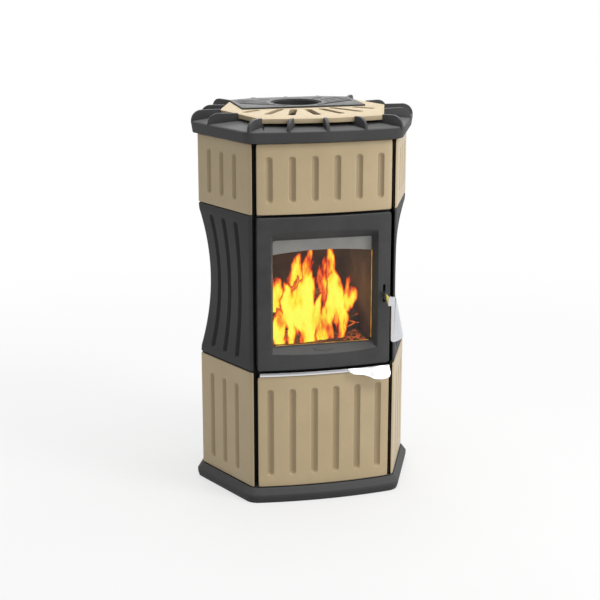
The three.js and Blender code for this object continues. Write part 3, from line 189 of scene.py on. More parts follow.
class Sheet:
    """The node tree of one finish, with short ways to add to it."""

    def __init__(self, name: str, world: bpy.types.World | None = None) -> None:
        """Starts a material, or a world, whose tree holds only its output.

        Args:
            name: the material's name.
            world: the world to dress instead.
        """
        self.owner = world or bpy.data.materials.new(name)
        self.owner.use_nodes = True
        self.tree = self.owner.node_tree
        self.tree.nodes.clear()
        kind = "ShaderNodeOutputWorld" if world else "ShaderNodeOutputMaterial"
        self.output = self.tree.nodes.new(kind)

    def node(
        self, kind: str, settings: dict | None = None, inputs: dict | None = None
    ) -> bpy.types.Node:
        """Adds any node.

        Args:
            kind: the node's type name.
            settings: properties, set first; "stops" are a ramp's places and colours.
            inputs: values or links of its sockets, by name or place.

        Returns:
            The node.
        """
        made = self.tree.nodes.new(kind)
        for name, value in (settings or {}).items():
            if name == "stops":
                self._set_stops(made.color_ramp, value)
            else:
                setattr(made, name, value)
        for key, value in (inputs or {}).items():
            self.feed(made.inputs[key], value)
        return made

    def call(
        self,
        kind: str,
        settings: dict | None = None,
        inputs: dict | None = None,
        out: str | int = 0,
    ) -> Signal:
        """Adds any node and returns one of its outputs as a signal."""
        return Signal(self, self.node(kind, settings, inputs).outputs[out])

    @staticmethod
    def _set_stops(ramp: bpy.types.ColorRamp, stops: Sequence[tuple[float, Colour]]) -> None:
        """Gives a ramp its stops.

        Args:
            ramp: the ramp.
            stops: place and colour of each stop, in order.
        """
        while len(ramp.elements) < len(stops):
            ramp.elements.new(1.0)
        for element, (place, colour) in zip(ramp.elements, stops):
            element.position = place
            element.color = (*colour, 1.0)

    def feed(self, socket: bpy.types.NodeSocket, value: object) -> None:
        """Links a signal to a socket, or sets the socket's own value.

        Args:
            socket: the socket.
            value: a signal, number, vector or colour.
        """
        if isinstance(value, Signal):
            self.tree.links.new(value.socket, socket)
        elif isinstance(value, tuple) and len(value) == 3 and len(socket.default_value) == 4:
            socket.default_value = (*value, 1.0)
        else:
            socket.default_value = value

    def place(self, stretch: Triple = (1.0, 1.0, 1.0)) -> Signal:
        """The point's place on the stove, in metres, stretched along the axes."""
        spot = self.call("ShaderNodeTexCoord", out="Object")
        return self.call("ShaderNodeMapping", inputs={"Vector": spot, "Scale": stretch})

    def attribute(self, name: str) -> Signal:
        """A number that the mesh carries at its points."""
        return self.call("ShaderNodeAttribute", {"attribute_name": name}, out="Fac")

    def noise(
        self, scale: float, detail: float = 3.0, rough: float = 0.5, at: Signal | None = None
    ) -> Signal:
        """Cloudy noise from about 0.3 to 0.7."""
        inputs = dict(Vector=at or self.place(), Scale=scale, Detail=detail, Roughness=rough)
        return self.call("ShaderNodeTexNoise", inputs=inputs, out="Fac")

    def cells(self, scale: float, at: Signal | None = None, feature: str = "F1") -> Signal:
        """Distance within random cells."""
        inputs = {"Vector": at or self.place(), "Scale": scale}
        return self.call("ShaderNodeTexVoronoi", {"feature": feature}, inputs, "Distance")

    def ramp(
        self, value: Signal, low: float, high: float, first: float = 0.0, last: float = 1.0
    ) -> Signal:
        """Smooth step of a signal between two values.

        Args:
            value: the signal.
            low: its value at the step's start.
            high: its value at the step's end.
            first: result before the step.
            last: result after the step.

        Returns:
            The stepped signal.
        """
        settings = {"interpolation_type": "SMOOTHSTEP"}
        inputs = {"Value": value, "From Min": low, "From Max": high}
        inputs |= {"To Min": first, "To Max": last}
        return self.call("ShaderNodeMapRange", settings, inputs, "Result")

    def mix(self, share: Signal, first: object, second: object) -> Signal:
        """Mixes two colours.

        Args:
            share: share of the second colour.
            first: signal or colour.
            second: signal or colour.

        Returns:
            The mixed colour.
        """
        settings = {"data_type": "RGBA", "blend_type": "MIX"}
        made = self.node("ShaderNodeMix", settings, {0: share, 6: first, 7: second})
        return Signal(self, made.outputs[2])

    def bump(self, height: Signal, distance: float) -> Signal:
        """Normal of a surface raised by a height signal, over a distance in metres."""
        inputs = {"Height": height, "Distance": distance, "Strength": 1.0}
        return self.call("ShaderNodeBump", inputs=inputs, out="Normal")

    def shader(self, kind: str, inputs: dict | None = None) -> Signal:
        """Adds a shader node and returns its closure."""
        return self.call(kind, inputs=inputs)

    def blend(self, share: Signal, first: Signal, second: Signal) -> Signal:
        """Mixes two shaders."""
        return self.call("ShaderNodeMixShader", inputs={0: share, 1: first, 2: second})

    def seen(self) -> Signal:
        """Tells the rays of the camera, of gloss and of glass from the rest.

        Returns:
            One for these rays and nought for others.
        """
        path = self.node("ShaderNodeLightPath")
        kinds = ("Camera", "Glossy", "Transmission")
        eye, gloss, glass = (Signal(self, path.outputs[f"Is {kind} Ray"]) for kind in kinds)
        return eye.larger(gloss).larger(glass)

    def end(self, surface: Signal) -> Material:
        """Links the last shader to the output and returns the finish."""
        self.tree.links.new(surface.socket, self.output.inputs["Surface"])
        return self.owner

    def principled(self, **inputs: object) -> Material:
        """Ends the tree in a Principled shader; underscores stand for spaces in socket names."""
        named = {key.replace("_", " "): value for key, value in inputs.items()}
        return self.end(self.shader("ShaderNodeBsdfPrincipled", named))


# ---- Finishes ----


@dataclass(frozen=True)
class Glaze:
    """Satin stove-tile glaze, mottled and speckled; grooves darker (gathered glaze and painted
    shade), lips paler (thin glaze and painted highlight), rims in painted shade.
    """

    name: str
    body: Colour
    pool: Colour
    thin: Colour
    roughness: float = 0.34
    gloss: float = 0.35
    coat: float = 0.1

    def dress(self) -> Material:
        """Builds the material.

        Returns:
            The material.
        """
        sheet = Sheet(self.name)
        cloud = sheet.ramp(sheet.noise(9.0, 4.0, 0.6), 0.3, 0.7)
        colour = sheet.mix(cloud * 0.12, self.body, self.pool)
        # Darker in the grooves: partly glaze gathered there, partly painted shade.
        colour = sheet.mix(sheet.attribute("hollow") * 0.55, colour, self.pool)
        # Paler on the groove lips: partly thinner glaze, partly a painted highlight.
        colour = sheet.mix(sheet.attribute("lip") * 0.45, colour, self.thin)
        speck = sheet.ramp(sheet.cells(420.0), 0.16, 0.06)
        sparse = sheet.ramp(sheet.noise(160.0), 0.45, 0.6)
        colour = sheet.mix(speck * sparse * 0.5, colour, self.pool)
        pale = sheet.ramp(sheet.cells(260.0), 0.13, 0.05)
        colour = sheet.mix(pale * 0.25, colour, self.thin)
        # Painted shade on the rims of the panel and in the joints.
        colour = sheet.mix(sheet.attribute("seam"), colour, SHADE)
        ripple = sheet.noise(70.0, 3.0, 0.5) + sheet.noise(14.0, 1.0, 0.4) * 2.0
        rough = self.roughness + sheet.noise(30.0, 2.0) * 0.12
        return sheet.principled(
            Base_Color=colour,
            Roughness=rough,
            Normal=sheet.bump(ripple, 0.0006),
            Specular_IOR_Level=self.gloss,
            Coat_Weight=self.coat,
            Coat_Roughness=0.12,
        )


@dataclass(frozen=True)
class Casting:
    """Graphite paint on sand-cast iron, with a pale mottle, painted top light on upward faces and
    painted shade in grooves and joints.
    """

    name: str
    body: Colour
    pale_and_top_light: Colour
    deep: Colour
    grit: float = 0.00028
    roughness: float = 0.56

    def dress(self) -> Material:
        """Builds the material.

        Returns:
            The material.
        """
        sheet = Sheet(self.name)
        cloud = sheet.ramp(sheet.noise(11.0, 5.0, 0.6), 0.32, 0.68)
        fine = sheet.noise(900.0, 3.0, 0.6)
        colour = sheet.mix(cloud * 0.2 + sheet.ramp(fine, 0.42, 0.62) * 0.15, self.body, self.pale_and_top_light)
        normal = sheet.call("ShaderNodeNewGeometry", out="Normal")
        upward = sheet.call("ShaderNodeSeparateXYZ", inputs={"Vector": normal}, out="Z")
        # Painted top light: faces that look upward turn paler.
        colour = sheet.mix(sheet.ramp(upward, 0.4, 0.9), colour, self.pale_and_top_light)
        # Painted shade in the grooves and on the lower face of the plinth.
        colour = sheet.mix(sheet.attribute("hollow") * 0.85, colour, self.deep)
        # Painted shade on the rims, joint ledges and slot walls.
        colour = sheet.mix(sheet.attribute("seam"), colour, SHADE)
        sand = fine + sheet.cells(520.0) * 0.5 + sheet.noise(60.0, 2.0) * 0.9
        return sheet.principled(
            Base_Color=colour,
            Roughness=self.roughness + cloud * 0.1,
            Specular_IOR_Level=0.22,
            Normal=sheet.bump(sand, self.grit),
        )


@dataclass(frozen=True)
class Steel:
    """Sheet metal, painted or brushed along one axis."""

    name: str
    body: Colour
    worn: Colour
    roughness: float
    metallic: float
    stroke: Triple = (1.0, 1.0, 1.0)

    def dress(self) -> Material:
        """Builds the material.

        Returns:
            The material.
        """
        sheet = Sheet(self.name)
        along = sheet.place(self.stroke)
        lines = sheet.noise(320.0, 4.0, 0.7, along)
        cloud = sheet.ramp(sheet.noise(14.0, 3.0), 0.35, 0.65)
        colour = sheet.mix(cloud * 0.4 + sheet.ramp(lines, 0.4, 0.65) * 0.35, self.body, self.worn)
        # Painted reflection of the dark door on the bright strip and its tab.
        colour = sheet.mix(sheet.attribute("seam"), colour, srgb(52, 52, 54))
        return sheet.principled(
            Base_Color=colour,
            Roughness=self.roughness + lines * 0.12,
            Metallic=self.metallic,
            Normal=sheet.bump(lines, 0.00012),
        )


@dataclass(frozen=True)
class Brick:
    """Sooty firebrick with pits and paler scorched patches."""

    name: str
    body: Colour
    soot: Colour

    def dress(self) -> Material:
        """Builds the material.

        Returns:
            The material.
        """
        sheet = Sheet(self.name)
        soot = sheet.ramp(sheet.noise(9.0, 5.0, 0.6), 0.35, 0.65)
        pits = sheet.ramp(sheet.cells(240.0), 0.25, 0.05)
        colour = sheet.mix(soot * 0.6 + pits * 0.3, self.body, self.soot)
        grain = sheet.noise(300.0, 4.0, 0.7) - pits
        return sheet.principled(Base_Color=colour, Roughness=0.94, Normal=sheet.bump(grain, 0.0008))


@dataclass(frozen=True)
class Rope:
    """Braided glass-fibre door rope."""

    name: str
    body: Colour
    deep: Colour

    def dress(self) -> Material:
        """Builds the material.

        Returns:
            The material.
        """
        sheet = Sheet(self.name)
        braid = sheet.call(
            "ShaderNodeTexWave",
            {"wave_type": "BANDS", "bands_direction": "DIAGONAL"},
            {"Vector": sheet.place(), "Scale": 160.0, "Distortion": 1.5, "Detail": 2.0},
            "Fac",
        )
        colour = sheet.mix(braid, self.deep, self.body)
        return sheet.principled(Base_Color=colour, Roughness=0.95, Normal=sheet.bump(braid, 0.0008))


@dataclass(frozen=True)
class Pane:
    """Clear heat-proof glass with a faint film of soot."""

    name: str
    film: Colour

    def dress(self) -> Material:
        """Builds the material: clear, with gloss that grows at a glancing angle.

        Returns:
            The material.
        """
        sheet = Sheet(self.name)
        clear = sheet.shader("ShaderNodeBsdfTransparent", {"Color": (0.97, 0.965, 0.95)})
        film = sheet.shader("ShaderNodeBsdfDiffuse", {"Color": self.film})
        gloss = sheet.shader("ShaderNodeBsdfGlossy", {"Color": (1.0, 1.0, 1.0), "Roughness": 0.03})
        haze = sheet.ramp(sheet.noise(18.0, 4.0, 0.6), 0.35, 0.75, 0.02, 0.05)
        fresnel = sheet.call("ShaderNodeFresnel", inputs={"IOR": 1.45}) * 0.35
        return sheet.end(sheet.blend(fresnel, sheet.blend(haze, clear, film), gloss))


@dataclass(frozen=True)
class Bark:
    """Split firewood that has begun to char, with a glow in its cracks."""

    name: str
    wood: Colour
    char: Colour
    glow: Colour

    def dress(self) -> Material:
        """Builds the material.

        Returns:
            The material.
        """
        sheet = Sheet(self.name)
        along = sheet.place((0.25, 1.0, 1.0))
        fibre = sheet.noise(150.0, 5.0, 0.7, along)
        burnt = sheet.ramp(sheet.noise(16.0, 4.0, 0.6), 0.38, 0.56)
        colour = sheet.mix(burnt, sheet.mix(fibre, self.wood, self.char), self.char)
        crack = sheet.ramp(sheet.cells(46.0, along, "DISTANCE_TO_EDGE"), 0.09, 0.0)
        glow = crack * burnt * sheet.ramp(sheet.noise(24.0), 0.42, 0.6)
        return sheet.principled(
            Base_Color=colour,
            Roughness=0.9,
            Normal=sheet.bump(fibre - crack, 0.0015),
            Emission_Color=sheet.mix(glow, (0.0, 0.0, 0.0), self.glow),
            Emission_Strength=1.1,
        )


@dataclass(frozen=True)
class Ember:
    """Bed of embers under a skin of ash."""

    name: str
    ash: Colour
    glow: Colour

    def dress(self) -> Material:
        """Builds the material.

        Returns:
            The material.
        """
        sheet = Sheet(self.name)
        crust = sheet.ramp(sheet.cells(70.0, feature="DISTANCE_TO_EDGE"), 0.02, 0.16)
        hot = (1.0 - crust) * sheet.ramp(sheet.noise(20.0, 3.0), 0.35, 0.6)
        grain = sheet.noise(220.0, 4.0, 0.7) + crust
        return sheet.principled(
            Base_Color=sheet.mix(sheet.noise(60.0, 3.0), self.ash, (0.02, 0.015, 0.012)),
            Roughness=0.95,
            Normal=sheet.bump(grain, 0.002),
            Emission_Color=sheet.mix(hot, (0.03, 0.004, 0.0), self.glow),
            Emission_Strength=0.75,
        )


@dataclass(frozen=True)
class Flame:
    """Burning gas: a bright core that cools to orange and red at its edge, and fades out."""

    name: str
    strength: float = 1.1

    def dress(self) -> Material:
        """Builds the material from the heat that the sheet's points carry.

        Returns:
            The material.
        """
        sheet = Sheet(self.name)
        lick = sheet.noise(46.0, 4.0, 0.6, sheet.place((1.0, 1.0, 0.28)))
        drift = sheet.noise(19.0, 2.0, 0.5, sheet.place((1.0, 1.0, 0.45)))
        heat = sheet.attribute("burning") * 0.8 + (lick - 0.5) * 2.1 + (drift - 0.5) * 2.6
        stops = [
            (0.0, (0.3, 0.012, 0.0)),
            (0.14, (0.72, 0.045, 0.008)),
            (0.3, (0.95, 0.17, 0.012)),
            (0.45, (1.0, 0.42, 0.02)),
            (0.6, (1.0, 0.8, 0.03)),
            (0.9, (1.0, 1.0, 0.1)),
        ]
        colour = sheet.call("ShaderNodeValToRGB", {"stops": stops}, {"Fac": heat}, "Color")
        return sheet.principled(
            Base_Color=(0.0, 0.0, 0.0),
            Roughness=1.0,
            Specular_IOR_Level=0.0,
            Alpha=sheet.ramp(heat, -0.05, 0.2),
            Emission_Color=colour,
            Emission_Strength=self.strength,
        )


@dataclass(frozen=True)
class LitEdge:
    """Painted reflection of the fire on the edge of the glass: uneven emission, not a lamp."""

    name: str
    glow: Colour

    def dress(self) -> Material:
        """Builds the material.

        Returns:
            The material.
        """
        sheet = Sheet(self.name)
        share = sheet.ramp(sheet.noise(26.0, 3.0, 0.6), 0.36, 0.6, 0.25, 1.0)
        return sheet.principled(
            Base_Color=(0.05, 0.03, 0.02),
            Roughness=0.2,
            Emission_Color=sheet.mix(share, (0.05, 0.012, 0.0), self.glow),
            Emission_Strength=0.8,
        )


class Finishes:
    """Every material of the stove, built once."""

    def __init__(self) -> None:
        """Builds the materials."""
        tile, pool, thin = srgb(192, 172, 136), srgb(128, 110, 82), srgb(220, 204, 172)
        self.tile = Glaze("tile_glaze", tile, pool, thin).dress()
        top, low, rim = srgb(191, 174, 144), srgb(170, 151, 118), srgb(220, 206, 178)
        self.plate = Glaze("plate_glaze", top, low, rim, 0.5, 0.1, 0.0).dress()
        iron, pale_and_top_light, deep = srgb(63, 63, 64), srgb(90, 90, 90), srgb(30, 30, 31)
        # The side castings get a darker copy of the iron: painted shade on their waisted,
        # downward-facing faces.
        self.side = Casting("side_iron_painted_shade", srgb(47, 47, 48), pale_and_top_light, srgb(22, 22, 23)).dress()
        self.casting = Casting("cast_iron", iron, pale_and_top_light, deep).dress()
        body, door_pale_and_top_light = srgb(57, 57, 58), srgb(96, 96, 96)
        self.door = Casting("door_iron", body, door_pale_and_top_light, deep, 0.0002, 0.54).dress()
        self.black = Steel("black_steel", srgb(20, 20, 20), srgb(32, 32, 33), 0.62, 0.0).dress()
        body, worn = srgb(226, 228, 233), srgb(238, 239, 242)
        self.chrome = Steel("chrome", body, worn, 0.14, 1.0, (0.05, 1.0, 1.0)).dress()
        body, worn = srgb(150, 153, 157), srgb(172, 170, 167)
        self.grey = Steel("grey_steel", body, worn, 0.42, 0.35, (0.04, 1.0, 1.0)).dress()
        body, worn = srgb(208, 210, 214), srgb(220, 221, 224)
        self.leaf = Steel("leaf_chrome", body, worn, 0.3, 0.6, (0.05, 1.0, 1.0)).dress()
        body, worn = srgb(232, 233, 236), srgb(240, 240, 242)
        self.strip = Steel("strip_chrome", body, worn, 0.16, 1.0, (0.02, 1.0, 1.0)).dress()
        self.brick = Brick("firebrick", srgb(118, 96, 80), srgb(56, 48, 43)).dress()
        self.rope = Rope("seal_rope", srgb(84, 84, 80), srgb(38, 38, 36)).dress()
        self.pane = Pane("door_glass", srgb(120, 110, 100)).dress()
        wood, char = srgb(120, 84, 52), srgb(28, 22, 19)
        self.bark = Bark("firewood", wood, char, (1.0, 0.16, 0.015)).dress()
        self.ember = Ember("embers", srgb(96, 90, 84), (0.75, 0.13, 0.016)).dress()
        self.flame = Flame("flame").dress()
        self.painted_fire_reflection = LitEdge("painted_fire_reflection", (1.0, 0.42, 0.05)).dress()


# ---- Mesh tools ----


@dataclass(frozen=True)
class Corner:
    """A corner of an outline, with the radius it is rounded to."""

    x: float
    y: float
    radius: float = 0.0

    @property
    def point(self) -> Vector:
        """The sharp corner."""
        return Vector((self.x, self.y))


def traced(*rows: tuple[float, ...]) -> list[Corner]:
    """Corners from rows of x, y and, where a corner is rounded, its radius."""
    return [Corner(*row) for row in rows]


def rounded(corners: Sequence[Corner], steps: int = 6) -> list[Vector]:
    """Replaces each corner of a closed outline that has a radius by an arc.

    Args:
        corners: the outline's corners in order.
        steps: steps of each arc.

    Returns:
        The outline's points.
    """
    points: list[Vector] = []
    for i, corner in enumerate(corners):
        if not corner.radius:
            points.append(corner.point)
            continue
        back = (corners[i - 1].point - corner.point).normalized()
        ahead = (corners[(i + 1) % len(corners)].point - corner.point).normalized()
        half = back.angle(ahead) / 2
        middle = corner.point + (back + ahead).normalized() * (corner.radius / math.sin(half))
        spoke = corner.point + back * (corner.radius / math.tan(half)) - middle
        turn = math.copysign(math.pi - 2 * half, back.cross(ahead) * -1)
        turns = (Matrix.Rotation(turn * i / steps, 2) for i in range(steps + 1))
        points.extend(middle + matrix @ spoke for matrix in turns)
    return points


def grown(corners: Sequence[Corner], distance: float) -> list[Corner]:
    """Moves every edge of a counter-clockwise outline outwards and keeps its corners' centres.

    Args:
        corners: the outline's corners.
        distance: how far the edges move.

    Returns:
        The moved corners.
    """
    moved = []
    for i, corner in enumerate(corners):
        before = corners[i - 1].point
        after = corners[(i + 1) % len(corners)].point
        first = (corner.point - before).normalized()
        second = (after - corner.point).normalized()
        mitre = Vector((first.y + second.y, -first.x - second.x))
        mitre *= 2 * distance / mitre.length_squared
        radius = max(corner.radius + distance, 1.0) if corner.radius else 0.0
        moved.append(Corner(corner.x + mitre.x, corner.y + mitre.y, radius))
    return moved


def spread(start: float, end: float, step: float) -> list[float]:
    """Evenly spaced values from start to end, at most a step apart."""
    count = max(1, math.ceil(abs(end - start) / step))
    return [start + (end - start) * i / count for i in range(count + 1)]


def stations(*runs: Iterable[float]) -> list[float]:
    """Sorts the values of several runs and leaves out near doubles.

    Args:
        *runs: the runs of values.

    Returns:
        The sorted values.
    """
    values = sorted(value for run in runs for value in run)
    kept = values[:1]
    for value in values[1:]:
        if value - kept[-1] > 0.04:
            kept.append(value)
    return kept


def edge_stations(start: float, end: float, radius: float) -> list[float]:
    """Values that draw a rounded edge at both ends of a stretch."""
    steps = [radius * (1 - math.cos(math.radians(a))) for a in (0, 22, 45, 67, 90)]
    return [*(start + s for s in steps), *(end - s for s in steps)]


def edge_fall(inset: float, radius: float) -> float:
    """How far a rounded edge lies below its face.

    Args:
        inset: distance from the edge.
        radius: radius of the edge.

    Returns:
        The fall, nought beyond the radius.
    """
    if inset >= radius:
        return 0.0
    reach = radius - max(inset, 0.0)
    return radius - math.sqrt(max(radius * radius - reach * reach, 0.0))


def lattice(columns: int, rows: int) -> Mesh:
    """A flat grid of unit squares whose points lie at whole numbers.

    Args:
        columns: squares along x.
        rows: squares along y.

    Returns:
        The grid's mesh.
    """
    bm = bmesh.new()
    bmesh.ops.create_grid(bm, x_segments=columns, y_segments=rows, size=0.5)
    bmesh.ops.translate(bm, vec=(0.5, 0.5, 0.0), verts=bm.verts)
    bmesh.ops.scale(bm, vec=(columns, rows, 1.0), verts=bm.verts)
    return bm


def thicken(bm: Mesh, depth: float) -> None:
    """Makes a flat mesh a closed body.

    Args:
        bm: the mesh, which is changed.
        depth: how far its other face rises.
    """
    raised = bmesh.ops.extrude_face_region(bm, geom=bm.faces[:], use_keep_orig=True)["geom"]
    verts = [item for item in raised if isinstance(item, bmesh.types.BMVert)]
    bmesh.ops.translate(bm, vec=(0.0, 0.0, depth), verts=verts)


def panel(us: Sequence[float], vs: Sequence[float], place: Place) -> Mesh:
    """A closed slab: a grid that is thickened and then bent to its place.

    Each point keeps its stations, so that paint can colour it.

    Args:
        us: stations across.
        vs: stations along.
        place: gives the point for u, v and whether it is on the back.

    Returns:
        The slab's mesh.
    """
    bm = lattice(len(us) - 1, len(vs) - 1)
    thicken(bm, 1.0)
    for name in STATIONS:
        bm.verts.layers.float.new(name)
    across, along = (bm.verts.layers.float[name] for name in STATIONS)
    for vert in bm.verts:
        u, v = us[round(vert.co.x)], vs[round(vert.co.y)]
        vert[across], vert[along] = u, v
        vert.co = place(u, v, vert.co.z > 0.5)
    bmesh.ops.recalc_face_normals(bm, faces=bm.faces)
    return bm


def paint(bm: Mesh, name: str, value: Callable[[float, float], float]) -> None:
    """Gives each point of a panel a number that its finish reads.

    Args:
        bm: the panel's mesh.
        name: name of the number.
        value: gives the number for the point's two stations.
    """
    layer = bm.verts.layers.float.new(name)
    across, along = (bm.verts.layers.float[station] for station in STATIONS)
    for vert in bm.verts:
        vert[layer] = value(vert[across], vert[along])


def shade_rims(bm: Mesh) -> None:
    """Paints shade on the narrow outer walls of a panel, where they lie in the shadow of the
    joints.

    Args:
        bm: the panel's mesh.
    """
    across, along = (bm.verts.layers.float[station] for station in STATIONS)
    us, vs = [v[across] for v in bm.verts], [v[along] for v in bm.verts]
    ends, levels = (min(us), max(us)), (min(vs), max(vs))
    paint(bm, "seam", lambda u, v: float(u in ends or v in levels))


def shade_below(bm: Mesh, height: float) -> None:
    """Paints shade on what lies under a level.

    Args:
        bm: the mesh.
        height: the level.
    """
    layer = bm.verts.layers.float.new("seam")
    for vert in bm.verts:
        vert[layer] = float(vert.co.z < height)


def tuck(u: float, v: float, us: Pair, vs: Pair, radius: float) -> Pair:
    """Draws a point of a panel's corner in, so that the corner is round.

    Args:
        u: station across.
        v: station along.
        us: first and last station across.
        vs: first and last station along.
        radius: radius of the corners.

    Returns:
        The moved stations.
    """
    near_u = us[0] + radius if u < us[0] + radius else us[1] - radius
    near_v = vs[0] + radius if v < vs[0] + radius else vs[1] - radius
    du = u - near_u if not us[0] + radius <= u <= us[1] - radius else 0.0
    dv = v - near_v if not vs[0] + radius <= v <= vs[1] - radius else 0.0
    reach = math.hypot(du, dv)
    if not (du and dv) or reach <= 0.0:
        return u, v
    shrink = max(abs(du), abs(dv)) / reach
    return near_u + du * shrink, near_v + dv * shrink


def ring(sections: Sequence[Sequence[Vector]], heights: Sequence[float]) -> Mesh:
    """A closed band that runs round the stove.

    Args:
        sections: one closed outline for each point of the band's section, all of one length.
        heights: the level of each outline.

    Returns:
        The band's mesh.
    """
    count, rows = len(sections[0]), len(sections)
    bm = lattice(count, rows)
    for vert in bm.verts:
        column, row = round(vert.co.x) % count, round(vert.co.y) % rows
        point = sections[row][column]
        vert.co = (point.x, point.y, heights[row])
    bmesh.ops.remove_doubles(bm, verts=bm.verts, dist=0.001)
    bmesh.ops.recalc_face_normals(bm, faces=bm.faces)
    return bm


def plate(points: Sequence[Vector], foot: float, top: float) -> Mesh:
    """A flat plate on an outline, between two levels.

    Args:
        points: the outline.
        foot: the lower level.
        top: the upper level.

    Returns:
        The mesh.
    """
    bm = bmesh.new()
    bm.faces.new([bm.verts.new((p.x, p.y, foot)) for p in points])
    thicken(bm, top - foot)
    bmesh.ops.recalc_face_normals(bm, faces=bm.faces)
    return bm


def soften(bm: Mesh, width: float, segments: int = 2) -> None:
    """Bevels every sharp edge.

    Args:
        bm: the mesh, which is changed.
        width: width of the bevel.
        segments: faces across it.
    """
    sharp = [e for e in bm.edges if e.is_manifold and e.calc_face_angle(0.0) > BEVEL_LIMIT]
    bmesh.ops.bevel(
        bm,
        geom=sharp,
        offset=width,
        offset_type="OFFSET",
        affect="EDGES",
        segments=segments,
        profile=0.5,
        material=-1,
        clamp_overlap=True,
    )


def merge(parts: Iterable[Mesh]) -> Mesh:
    """Puts several closed bodies into one mesh.

    Args:
        parts: the meshes, which are used up.

    Returns:
        The common mesh.
    """
    whole = bmesh.new()
    for part in parts:
        mesh = bpy.data.meshes.new("part")
        part.to_mesh(mesh)
        part.free()
        whole.from_mesh(mesh)
        bpy.data.meshes.remove(mesh)
    return whole


def carve(bm: Mesh, cutters: Sequence[Mesh]) -> Mesh:
    """Cuts solids out of a solid.

    Args:
        bm: the solid, which is used up.
        cutters: the solids to cut away, which are used up.

    Returns:
        What is left.
    """
    objects = []
    for i, part in enumerate([bm, *cutters]):
        mesh = bpy.data.meshes.new(f"carve_{i}")
        part.to_mesh(mesh)
        part.free()
        objects.append(show(mesh.name, mesh))
    for cutter in objects[1:]:
        cut = objects[0].modifiers.new("cut", "BOOLEAN")
        cut.operation = "DIFFERENCE"
        cut.solver = "MANIFOLD"
        cut.object = cutter
    bpy.context.view_layer.update()
    shaped = objects[0].evaluated_get(bpy.context.evaluated_depsgraph_get())
    result = bmesh.new()
    result.from_mesh(shaped.to_mesh())
    shaped.to_mesh_clear()
    for item in objects:
        mesh = item.data
        bpy.data.objects.remove(item)
        bpy.data.meshes.remove(mesh)
    bmesh.ops.remove_doubles(result, verts=result.verts, dist=0.002)
    return result


def publish(
    bm: Mesh,
    name: str,
    body: Body,
    material: Material,
    nodes: Sequence[str] = (),
) -> None:
    """Turns a mesh in millimetres into a finished piece of the stove.

    Args:
        bm: the mesh, which is used up.
        name: the piece's name.
        body: the body that it rides on.
        material: its finish.
        nodes: CAD nodes that it stands for.
    """
    bmesh.ops.scale(bm, vec=(MM, MM, MM), verts=bm.verts)
    for station in STATIONS:
        if station in bm.verts.layers.float:
            bm.verts.layers.float.remove(bm.verts.layers.float[station])
    for face in bm.faces:
        face.smooth = True
    for edge in bm.edges:
        edge.smooth = edge.calc_face_angle(0.0) < SMOOTH_LIMIT
    mesh = bpy.data.meshes.new(name)
    bm.to_mesh(mesh)
    bm.free()
    mesh.materials.append(material)
    piece = show(name, mesh)
    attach(piece, body.value)
    if nodes:
        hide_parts(*nodes)
    LOG.info("%s: %d faces", name, len(mesh.polygons))


# ---- Plan and grooves ----


